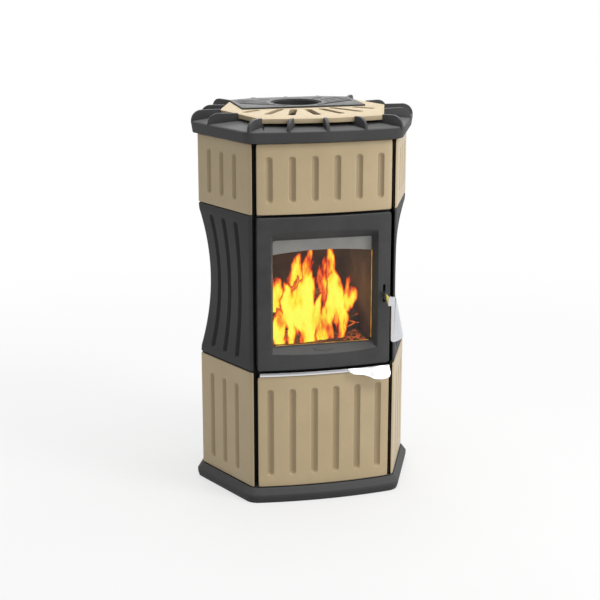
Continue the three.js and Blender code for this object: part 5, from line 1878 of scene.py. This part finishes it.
@dataclass
class FireDoor:
    """Cast door frame with its deep window, the oval on its sill and the handle."""

    plan: Plan
    finishes: Finishes
    edge: float = 2.4
    glass_half: float = 127.0
    foot_gap: float = 57.0
    head_gap: float = 61.0
    glass_depth: float = 195.0
    back: float = -181.0
    side_bevel: float = 0.39
    foot_bevel: float = 0.6
    head_bevel: float = 0.78
    handle_x: float = 153.5
    handle_height: float = 181.0
    pivot_depth: float = 202.0
    pin_radius: float = 3.35
    hinge_x: float = -160.3
    pin_length: float = 20.0
    corner: float = 5.0
    pane_reach: float = 11.0
    rope_reach: Pair = (13.1, 19.9)
    rope_depth: float = 6.0
    hub: float = 9.0
    lever_reach: float = 66.0
    latch_reach: float = 42.0
    leaf_wall: float = 5.0
    through: Pair = (-260.0, -150.0)

    def build(self) -> None:
        """Builds the door's pieces."""
        self.casting()
        self.oval()
        self.glow()
        self.lever()
        self.leaf()

    @property
    def foot(self) -> float:
        """Foot of the door."""
        return level("fire_door_frame", False)

    @property
    def head(self) -> float:
        """Top of the door."""
        return level("fire_door_frame", True)

    @property
    def window(self) -> Pair:
        """Foot and top of the window."""
        return self.foot + self.foot_gap, self.head - self.head_gap

    def front(self, x: float, z: float) -> float:
        """Depth of the front surface, with the bevels that lead in to the window.

        Args:
            x: place across.
            z: level.

        Returns:
            The depth.
        """
        low, high = self.window
        outside = soft_max((low - z) / self.foot_bevel, (z - high) / self.head_bevel, 0.5)
        outside = soft_max(outside, (abs(x) - self.glass_half) / self.side_bevel, 6.0)
        bevel = -self.glass_depth - 1.0 - max(outside - 1.0, 0.0)
        face = self.plan.front_y(x) + edge_fall(self.plan.panel_half - abs(x), self.edge)
        face += edge_fall(min(z - self.foot, self.head - z), self.edge)
        return soft_max(face, bevel, 1.6)

    def rear(self, x: float, z: float) -> float:
        """Depth of the back, with the pocket of the pane and the groove of the rope.

        Args:
            x: place across.
            z: level.

        Returns:
            The depth.
        """
        low, high = self.window

        def beyond(reach: float) -> bool:
            """Whether the point lies farther than a reach outside the window."""
            half = self.glass_half + reach
            return abs(x) > half or z < low - reach or z > high + reach

        if not beyond(self.pane_reach):
            return -self.glass_depth - 0.4
        if beyond(self.rope_reach[0]) and not beyond(self.rope_reach[1]):
            return self.back - self.rope_depth
        return self.back

    def casting(self) -> None:
        """Builds the door frame."""
        half, low, high = self.plan.panel_half, *self.window
        reaches = (self.pane_reach, *self.rope_reach)
        shifts = [reach + nudge for reach in reaches for nudge in (-STEP, STEP)]
        steps = [self.glass_half + shift for shift in shifts]
        lips = spread(132, 141, 0.7)
        us = stations(
            edge_stations(-half, half, self.edge),
            [sign * value for value in (*steps, *lips) for sign in (-1, 1)],
            spread(-self.glass_half - 9, self.glass_half + 9, 7.0),
            spread(-half, -self.glass_half, 5.0),
            spread(self.glass_half, half, 5.0),
        )
        vs = stations(
            edge_stations(self.foot, self.head, self.edge),
            [low - shift for shift in shifts],
            [high + shift for shift in shifts],
            spread(low - 24, low - 12, 0.8),
            spread(high + 15, high + 29, 0.8),
            spread(self.foot, self.head, 9.0),
        )

        def place(u: float, v: float, is_back: bool) -> Vector:
            """Places a point of the frame."""
            across, along = tuck(u, v, (-half, half), (self.foot, self.head), self.corner)
            return Vector((across, self.rear(u, v) if is_back else self.front(u, v), along))

        inner = self.glass_half
        opening = rectangle((-inner, inner), (low, high), (5, 6))
        slot_xs = (self.handle_x - 3.5, self.handle_x + 3.5)
        slot = rectangle(slot_xs, (self.foot + 157.5, self.foot + 205.0), (3.4, 3.4))
        pin = Vector((self.hinge_x, -self.pivot_depth, 0.0))
        pivot = Vector((0.0, -self.pivot_depth, self.foot + self.handle_height))
        up, right = Vector((0.0, 0.0, 1.0)), Vector((1.0, 0.0, 0.0))
        bores = [
            (pin + up * (self.foot - CUT), pin + up * (self.foot + self.pin_length)),
            (pin + up * (self.head - self.pin_length), pin + up * (self.head + CUT)),
            (pivot + right * (self.handle_x - 11), pivot + right * (half + CUT)),
        ]
        cutters = [
            upright_plate(rounded(opening, 5), *self.through),
            upright_plate(rounded(slot, 6), *self.through),
            *(rod(self.pin_radius, *bore) for bore in bores),
        ]
        bm = carve(panel(us, vs, place), cutters)
        name, node, finish = "fire_door_casting", "fire_door_frame", self.finishes.door
        publish(bm, name, Body.FIRE_DOOR, finish, [node])

    def oval(self) -> None:
        """Builds the plain raised oval on the sill."""
        bm = bmesh.new()
        bmesh.ops.create_circle(bm, cap_ends=True, segments=72, radius=1.0)
        bmesh.ops.scale(bm, vec=(27.0, 7.6, 1.0), verts=bm.verts)
        thicken(bm, 1.9)
        bmesh.ops.recalc_face_normals(bm, faces=bm.faces)
        soften(bm, 0.7, 3)
        # Painted shade round the foot of the oval, drawing its outline.
        shade_below(bm, 1.0)
        tilt = Matrix.Rotation(math.atan(self.foot_bevel), 4, "X")
        reach = 15.0
        height = self.window[0] - reach * self.foot_bevel - 0.9
        spot = Vector((0.0, -self.glass_depth - reach, height))
        bmesh.ops.transform(bm, matrix=Matrix.Translation(spot) @ tilt, verts=bm.verts)
        publish(bm, "sill_oval", Body.FIRE_DOOR, self.finishes.door)

    def glow(self) -> None:
        """Builds the painted reflection: emissive strips where the fire shows along the glass edge.
        """
        low, high = self.window
        front, back = -self.glass_depth - 0.9, -self.glass_depth - 0.1
        edge = self.glass_half
        right = box((edge - 1.3, edge), (front, back), (low + 7, high - 36))
        foot = box((-edge + 7, edge - 7), (front, back), (low, low + 1.2))
        publish(merge([right, foot]), "glass_edge_painted_reflection", Body.FIRE_DOOR, self.finishes.painted_fire_reflection)

    def lever(self) -> None:
        """Builds the lever with its latch arm."""
        y, z = -self.pivot_depth, self.foot + self.handle_height

        def round_hub(start: float, end: float) -> list[Pair]:
            """Points round the hub between two angles."""
            angles = [math.radians(start + (end - start) * i / 6) for i in range(7)]
            return [(y + self.hub * math.cos(a), z + self.hub * math.sin(a)) for a in angles]

        tip, arm = y - self.lever_reach, y + self.latch_reach
        corners = traced(
            (tip, z + 4.5, 1), (tip, z - 17.5, 1), *round_hub(-90, -26.4),
            (arm, z - 4, 2), (arm, z + 4, 2), *round_hub(26.4, 90),
        )
        bm = side_plate(rounded(corners, 3), self.handle_x - 3, self.handle_x + 3)
        centre = Vector((self.handle_x, y, z))
        across = Vector((8.0, 0.0, 0.0))
        bm = carve(bm, [rod(self.pin_radius, centre - across, centre + across)])
        soften(bm, 0.8, 3)
        publish(bm, "polished_lever", Body.HANDLE, self.finishes.chrome, ["door_lever"])

    def leaf(self) -> None:
        """Builds the bright leaf at the lever's end."""
        left, top = self.handle_x - 6, self.foot + self.handle_height + 4.5
        stem, foot = left + 8, top - 117
        corners = traced(
            (left, top - 22, 0.8), (stem, top - 22, 1.5), (stem, foot, 6.5),
            (stem + 20, foot + 4.5, 30), (stem + 32.5, foot + 12, 13),
            (left + 20.5, top - 3, 10), (left + 17, top, 5), (left, top, 2.5),
        )
        front = -self.pivot_depth - self.lever_reach - SEAT - self.leaf_wall
        bm = upright_plate(rounded(corners, 7), front, front + self.leaf_wall)
        soften(bm, 1.0, 3)
        publish(bm, "bright_leaf", Body.HANDLE, self.finishes.leaf, ["handle_leaf"])


@dataclass
class LowerDoor:
    """Tile of the lower door and the bright strip with its pull tab."""

    plan: Plan
    finishes: Finishes
    grooves: tuple[float, ...]
    edge: float = 2.2
    proud: float = 5.5
    bracket_end: float = -149.3
    bracket_rise: float = 26.5
    bracket_depth: float = -211.5
    pin_span: Pair = (-164.3, -156.3)
    pin_drop: float = 7.7
    pin_depth: float = -206.0
    tab_start: float = 58.0
    tab_end: float = 167.3
    tab_reach: float = 24.0
    tab_drop: float = 27.5
    tab_shares: tuple[Pair, ...] = (
        (0.0, 0.18),
        (0.05, 0.3),
        (0.1, 0.4),
        (0.3, 0.46),
        (0.46, 0.66),
        (0.6, 0.9),
        (0.74, 1.0),
        (0.86, 0.98),
        (0.94, 0.92),
        (0.98, 0.8),
        (1.0, 0.62),
    )

    def build(self) -> None:
        """Builds the door's pieces."""
        self.tile()
        self.trim()

    def tile(self) -> None:
        """Builds the grooved tile, thinner behind its hinge."""
        foot, top = span("lower_door_tile")
        flutes = Flutes(self.grooves, foot + 29.0, top - 33.0)

        def wall(x: float, z: float) -> float:
            """Thickness of the tile, less where its hinge needs room.

            Args:
                x: place across.
                z: level.

            Returns:
                The thickness.
            """
            back = self.plan.front_y(x) + self.plan.tile_wall
            if x < self.bracket_end and z < foot + self.bracket_rise:
                back = min(back, self.bracket_depth)
            if self.pin_span[0] < x < self.pin_span[1] and z > top - self.pin_drop:
                back = min(back, self.pin_depth)
            return back - self.plan.front_y(x)

        xs = (*self.pin_span, self.bracket_end)
        zs = (foot + self.bracket_rise, top - self.pin_drop)
        notches = tuple([spot + n for spot in spots for n in (-STEP, STEP)] for spots in (xs, zs))
        bm = front_panel(self.plan, foot, top, flutes, self.edge, wall, notches)
        name, node, finish = "lower_tile_face", "lower_door_tile", self.finishes.tile
        publish(bm, name, Body.LOWER_DOOR, finish, [node])

    def drop(self, share: float) -> float:
        """How far the tab hangs down at a share of its length.

        Args:
            share: share of the length, from the left.

        Returns:
            The drop.
        """
        for (start, first), (end, last) in zip(self.tab_shares, self.tab_shares[1:]):
            if share <= end:
                t = (share - start) / (end - start)
                smooth = t * t * (3 - 2 * t) if 0.2 < end < 0.4 else t
                return self.tab_drop * (first + (last - first) * smooth)
        return self.tab_drop * self.tab_shares[-1][1]

    def trim(self) -> None:
        """Builds the strip, the flange behind it and the flared tab."""
        top = level("lower_door_trim", True)
        foot = top - 9.5
        start, end = -self.plan.panel_half + 4, self.plan.panel_half
        us = stations(edge_stations(start, end, 1.5), spread(start, end, 8.0))
        vs = stations(edge_stations(foot, top, 2.2), [foot + 4.7, top - 5, top - 3.6, top - 3])

        def strip(u: float, v: float, is_back: bool) -> Vector:
            """Places a point of the strip.

            Args:
                u: station across.
                v: station along.
                is_back: whether the point lies on the back.

            Returns:
                The point.
            """
            if is_back:
                return Vector((u, self.plan.front_y(u) + 6, v))
            fall = edge_fall(min(u - start, end - u), 1.5)
            fall += edge_fall(v - foot, 2.2) + edge_fall(top - v, 5.0)
            return Vector((u, self.plan.front_y(u) - self.proud + fall, v))

        def flange(u: float, v: float, is_back: bool) -> Vector:
            """Places a point of the flange."""
            return Vector((u, -199.9 if is_back else self.plan.front_y(u) + 4, v))

        rail = panel(spread(-147.3, self.plan.panel_half - 2, 8.0), [foot + 3, foot + 6], flange)
        face = panel(us, vs, strip)
        # Painted reflection: the strip's upper part darkens as if it mirrored the dark door above.
        paint(face, "seam", lambda u, v: min(max((v - foot - 2.0) / 6.0, 0.0), 1.0) * 0.85)
        whole = merge([face, rail, self.tab(top)])
        finish = self.finishes.strip
        publish(whole, "pull_strip", Body.LOWER_DOOR, finish, ["lower_door_trim"])

    def tab(self, top: float) -> Mesh:
        """A lip that leaves the strip and flares outwards and down.

        Args:
            top: top level of the strip.

        Returns:
            The tab's mesh.
        """
        us = stations(spread(0, 0.2, 0.02), spread(0.2, 0.9, 0.03), spread(0.9, 1, 0.012))
        vs = [0, 0.08, 0.18, 0.3, 0.42, 0.55, 0.68, 0.8, 0.9, 0.96, 1.0]

        def place(u: float, v: float, is_back: bool) -> Vector:
            """Places a point of the tab, by shares of its length and its drop.

            Args:
                u: station across.
                v: station along.
                is_back: whether the point lies on the back.

            Returns:
                The point.
            """
            x = self.tab_start + (self.tab_end - self.tab_start) * u
            drop = self.drop(u)
            reach = self.tab_reach * min(1.0, drop / (self.tab_drop * 0.8))
            face = self.plan.front_y(x) - self.proud
            edge = 1.5 * edge_fall(1.0 - v, 0.12) / 0.12
            wall = 1.5 + 2.0 * (1 - v) - edge
            y = face + 1.6 - (reach + 1.6) * v**1.03
            z = top - 1.2 - (drop - 0.7) * v
            offset = wall if is_back else edge
            return Vector((x, y + offset * 0.55, z - offset * 0.83))

        bm = panel(us, vs, place)
        # Painted reflection of the dark door along the tab's upper edge.
        paint(bm, "seam", lambda u, v: max(0.0, 1.0 - v / 0.16) * 0.55)
        return bm


# ---- Fire ----


@dataclass(frozen=True)
class Lick:
    """A stroke of flame: x, z and half width along its middle line, from foot to tip."""

    line: tuple[Triple, ...]
    heat: float = 1.0
    edge: float = 8.0

    def at(self, x: float, z: float) -> float:
        """Heat at a point, below nought outside the stroke.

        Args:
            x: place across.
            z: level.

        Returns:
            The heat.
        """
        best = -1.0
        for (ax, az, first), (bx, bz, last) in zip(self.line, self.line[1:]):
            dx, dz = bx - ax, bz - az
            share = min(max(((x - ax) * dx + (z - az) * dz) / (dx * dx + dz * dz), 0.0), 1.0)
            gap = math.hypot(x - ax - dx * share, z - az - dz * share)
            best = max(best, (first + (last - first) * share - gap) / self.edge)
        return min(best, 0.86) * (self.heat if best > 0 else 1.0)


@dataclass
class Fire:
    """Logs, embers and flames on the grate."""

    finishes: Finishes
    floor: float = 386.0
    ceiling: float = 640.0
    reach: float = 130.0
    guard_rise: float = 34.0
    guard_wall: float = 6.0
    bed_half: float = 132.0
    bed_span: Pair = (-138.0, 128.0)
    licks: tuple[Lick, ...] = (
        Lick(
            (
                (-38, 380, 26), (-44, 425, 38), (-38, 470, 40), (-34, 510, 31),
                (-22, 548, 21), (-27, 585, 15), (-18, 620, 10), (-14, 648, 6),
            ),
        ),
        Lick(((-62, 450, 30), (-76, 492, 20), (-72, 525, 11), (-86, 552, 2))),
        Lick(((-94, 384, 16), (-100, 425, 22), (-96, 456, 15), (-106, 492, 2))),
        Lick(
            (
                (28, 376, 24), (36, 420, 30), (46, 462, 27), (56, 500, 22),
                (52, 540, 20), (38, 575, 16), (40, 610, 12), (32, 645, 7),
            ),
        ),
        Lick(((-4, 396, 24), (6, 440, 22), (5, 472, 11), (15, 506, 2))),
        Lick(((64, 400, 20), (74, 436, 16), (71, 470, 10), (84, 506, 2)), 0.85),
        Lick(((82, 462, 10), (92, 494, 14), (88, 524, 9), (97, 552, 2)), 0.42),
        Lick(((-72, 376, 10), (-66, 410, 12), (-62, 430, 12)), 0.8),
        Lick(((-60, 530, 5), (-50, 560, 4), (-56, 588, 1.5)), 0.7),
    )
    calms: tuple[Lick, ...] = (
        Lick(((-54, 384, 8), (-50, 412, 10), (-58, 436, 5), (-52, 456, 1)), 0.95, 6.0),
        Lick(((2, 376, 9), (0, 402, 8), (6, 428, 1)), 0.95, 6.0),
        Lick(((52, 376, 6), (56, 410, 6), (50, 436, 5), (58, 462, 1)), 0.8, 6.0),
        Lick(((-40, 520, 2), (-36, 546, 7), (-40, 572, 4), (-34, 596, 1)), 0.62, 8.0),
        Lick(((34, 546, 2), (42, 566, 7), (34, 596, 5)), 0.55, 8.0),
        Lick(((-84, 402, 4), (-78, 432, 7), (-84, 450, 1)), 0.8, 6.0),
        Lick(((-12, 440, 2), (-9, 462, 4), (-12, 484, 1)), 0.45, 5.0),
    )
    hazes: tuple[Lick, ...] = (
        Lick(((-84, 400, 40), (-92, 470, 30), (-84, 520, 16), (-92, 556, 2)), 0.36, 22.0),
        Lick(((4, 400, 40), (14, 480, 30), (6, 530, 18), (16, 570, 2)), 0.34, 22.0),
        Lick(((84, 400, 30), (92, 450, 22), (86, 490, 12), (94, 520, 2)), 0.36, 20.0),
        Lick(((-30, 400, 50), (-24, 480, 40), (-32, 540, 22), (-24, 590, 3)), 0.7, 18.0),
        Lick(((44, 400, 40), (52, 480, 30), (42, 540, 18), (50, 580, 3)), 0.7, 18.0),
    )

    def build(self) -> None:
        """Builds logs, embers and flames."""
        ends = [
            (Vector((-116, -52, 422)), Vector((46, -30, 418)), 30.0, 1.3),
            (Vector((-108, 38, 424)), Vector((30, 44, 420)), 33.0, 5.1),
            (Vector((-90, 14, 478)), Vector((40, -8, 472)), 26.0, 9.7),
            (Vector((90, -84, 431)), Vector((78, 66, 427)), 38.0, 3.3),
        ]
        logs = merge(self.split_log(*end) for end in ends)
        publish(logs, "split_logs", Body.ROOT, self.finishes.bark)
        self.embers()
        self.guard()
        self.sheet("flames_front", -124.0, self.licks, self.calms)
        self.sheet("flames_rear", -22.0, self.hazes, ())

    def guard(self) -> None:
        """Builds the low bar that keeps the logs off the glass."""
        low, high = (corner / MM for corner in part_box("log_guard"))
        across = (low.x, high.x)
        rail = box(across, (low.y, low.y + self.guard_wall), (low.z, low.z + self.guard_rise))
        foot = box(across, (low.y, high.y), (low.z, low.z + self.guard_wall))
        soften(rail, 1.2)
        whole = merge([rail, foot])
        publish(whole, "guard_bar", Body.ROOT, self.finishes.black, ["log_guard"])

    @staticmethod
    def split_log(start: Vector, end: Vector, radius: float, seed: float) -> Mesh:
        """A rough split log between two points.

        Args:
            start: the first point.
            end: the second point.
            radius: its radius.
            seed: number that tells its lumps from those of other logs.

        Returns:
            The log's mesh.
        """
        bm = bar(start, end, (radius, radius * 0.93), 22)
        sides = [e for e in bm.edges if abs(e.verts[0].co.z - e.verts[1].co.z) > 1]
        bmesh.ops.subdivide_edges(bm, edges=sides, cuts=16, use_grid_fill=True)
        for vert in bm.verts:
            around = vert.co / radius
            lump = noise.noise(Vector((around.x + seed, around.y, around.z * 0.3)))
            fine = noise.noise(Vector((around.x * 5 + seed, around.y * 5, around.z * 1.4)))
            size = 1 + 0.22 * lump + 0.07 * fine
            vert.co.x *= size
            vert.co.y *= size
            vert.co.z += 4 * fine
        lay(bm, start, end)
        bmesh.ops.recalc_face_normals(bm, faces=bm.faces)
        return bm

    def embers(self) -> None:
        """Builds the bed of embers."""
        front, back = self.bed_span

        def place(u: float, v: float, is_back: bool) -> Vector:
            """Places a point of the bed.

            Args:
                u: station across.
                v: station along.
                is_back: whether the point lies on the back.

            Returns:
                The point.
            """
            if is_back:
                return Vector((u, v, self.floor + 0.3))
            edge = min(self.bed_half - abs(u), (v - front) * 0.6, back - v) / 24
            rise = 10 + 9 * noise.noise(Vector((u * 0.045, v * 0.045, 3.0)))
            rise += 5 * noise.noise(Vector((u * 0.13, v * 0.13, 8.0)))
            return Vector((u, v, self.floor + 0.9 + max(rise, 2.0) * min(max(edge, 0.0), 1.0)))

        bm = panel(spread(-self.bed_half, self.bed_half, 4.0), spread(front, back, 4.0), place)
        publish(bm, "ember_bed", Body.ROOT, self.finishes.ember)

    def sheet(self, name: str, depth: float, licks: Sequence[Lick], calms: Sequence[Lick]) -> None:
        """Builds one waving sheet of flames, clear where nothing burns.

        Args:
            name: the piece's name.
            depth: where it stands.
            licks: its strokes of flame.
            calms: strokes that cool it.
        """

        def place(u: float, v: float, is_back: bool) -> Vector:
            """Places a point of the waving sheet."""
            wave = 9 * math.sin(u / 42) + 5 * math.sin(v / 36)
            return Vector((u, depth + wave + (1.2 if is_back else 0.0), v))

        @functools.cache
        def heat(u: float, v: float) -> float:
            """Heat of the flames at a point of the sheet.

            Args:
                u: station across.
                v: station along.

            Returns:
                The heat, nought or less where nothing burns.
            """
            spot = Vector((u * 0.03, v * 0.018, depth))
            fine = Vector((u * 0.1, v * 0.05, depth))
            x = u + 7 * noise.noise(spot) + 3 * noise.noise(fine)
            z = v + 6 * noise.noise(spot + Vector((7.0, 3.0, 0.0)))
            warm = max(lick.at(x, z) for lick in licks)
            cool = max((calm.at(x, z) for calm in calms), default=0.0)
            edge = min(1.0, (self.reach - abs(u)) / 12)
            return warm - max(cool, 0.0) + min(edge - 1.0, 0.0)

        foot = self.floor + 3
        bm = panel(spread(-self.reach, self.reach, 2.5), spread(foot, self.ceiling, 2.5), place)
        paint(bm, "burning", heat)
        publish(bm, name, Body.ROOT, self.finishes.flame)


# ---- Stage ----


@dataclass
class Studio:
    """Camera, lamps, pale floor and white surroundings."""

    azimuth: float = -13.85
    elevation: float = 14.93
    spot: Triple = (-0.88294, -3.54133, 1.43717)
    lens: float = 86.25
    floor_half: float = 30.0
    floor_white: float = 0.66
    ambient: float = 0.39

    def build(self) -> None:
        """Builds the whole stage."""
        self.camera()
        self.lamps()
        self.floor()
        self.world()

    def camera(self) -> None:
        """Makes the camera at the photograph's viewing angle."""
        camera = show("camera", bpy.data.cameras.new("camera"))
        a, e = math.radians(self.azimuth), math.radians(self.elevation)
        back = Vector((math.sin(a) * math.cos(e), -math.cos(a) * math.cos(e), math.sin(e)))
        camera.location = self.spot
        camera.rotation_euler = back.to_track_quat("Z", "Y").to_euler()
        camera.data.lens = self.lens
        camera.data.sensor_width = 36.0
        bpy.context.scene.camera = camera

    @staticmethod
    def lamp(name: str, spot: Triple, aim: Triple, size: float, power: float) -> None:
        """Adds a soft square lamp.

        Args:
            name: its name.
            spot: where it hangs, in metres.
            aim: the point that it faces.
            size: its side.
            power: its power in watts.
        """
        data = bpy.data.lights.new(name, "AREA")
        data.size = size
        data.energy = power
        item = show(name, data)
        item.location = spot
        item.rotation_euler = (Vector(spot) - Vector(aim)).to_track_quat("Z", "Y").to_euler()

    def lamps(self) -> None:
        """Lights the stove from above and from the right of the camera."""
        self.lamp("key_lamp", (2.1, -2.2, 3.1), (0.0, 0.0, 0.5), 1.3, 53.0)
        self.lamp("low_fill", (2.4, -2.4, 0.45), (0.0, 0.0, 0.15), 1.0, 17.0)
        self.lamp("top_lamp", (0.2, 0.0, 3.4), (0.0, 0.0, 0.9), 2.0, 56.0)
        self.lamp("back_lamp", (0.3, 3.0, 2.4), (0.0, 0.0, 0.5), 1.8, 26.0)
        glow = bpy.data.lights.new("fire_glow", "POINT")
        glow.energy = 0.5
        glow.color = (1.0, 0.62, 0.3)
        glow.shadow_soft_size = 0.05
        show("fire_glow", glow).location = (0.0, -0.02, 0.52)

    def floor(self) -> None:
        """Lays a pale floor that keeps the stove's shadow."""
        bm = bmesh.new()
        bmesh.ops.create_grid(bm, x_segments=1, y_segments=1, size=self.floor_half)
        mesh = bpy.data.meshes.new("floor")
        bm.to_mesh(mesh)
        bm.free()
        floor = show("floor", mesh)
        sheet = Sheet("floor_white")
        matt = sheet.shader("ShaderNodeBsdfDiffuse", {"Color": (0.82, 0.82, 0.82)})
        white = sheet.shader("ShaderNodeEmission", {"Color": (1.0, 1.0, 1.0), "Strength": 1.0})
        length = {"operation": "LENGTH"}
        away = sheet.call("ShaderNodeVectorMath", length, {0: sheet.place()}, "Value")
        share = sheet.ramp(away, 0.6, 2.6, self.floor_white, 1.0)
        mesh.materials.append(sheet.end(sheet.blend(sheet.seen() * share, matt, white)))

    def world(self) -> None:
        """Surrounds the stove with white for the eye and for gloss, and soft light for the rest."""
        world = bpy.data.worlds.new("studio")
        bpy.context.scene.world = world
        sheet = Sheet("studio", world)
        strength = self.ambient + sheet.seen() * (1.0 - self.ambient)
        light = {"Color": (1.0, 1.0, 1.0), "Strength": strength}
        sheet.end(sheet.shader("ShaderNodeBackground", light))
        bpy.context.scene.view_settings.view_transform = "Standard"


def dress_nodes(finishes: Finishes) -> None:
    """Gives each CAD node that stays in sight its finish.

    Args:
        finishes: the finishes.
    """
    chosen = {
        "cast_iron": finishes.casting,
        "black_steel": finishes.black,
        "chrome": finishes.chrome,
        "grey_steel": finishes.grey,
        "door_glass": finishes.pane,
        "firebrick": finishes.brick,
        "rope": finishes.rope,
        "tile_glaze": finishes.tile,
        "plate_glaze": finishes.plate,
    }
    slots = {row["node"]: row["material_slot"] for row in frame["record"]["subparts"]}
    for name, item in frame["nodes"].items():
        item.data.materials.clear()
        item.data.materials.append(chosen[slots[name]])


def main() -> None:
    """Builds the stove's looks in order."""
    logging.basicConfig(level=logging.INFO, format="%(message)s")
    Studio().build()
    finishes = Finishes()
    dress_nodes(finishes)
    plan = Plan()
    shell = Shell(plan, finishes)
    shell.build()
    Top(plan, finishes).build()
    FireDoor(plan, finishes).build()
    LowerDoor(plan, finishes, shell.front_grooves).build()
    Fire(finishes).build()


if __name__ == "__main__":
    main()
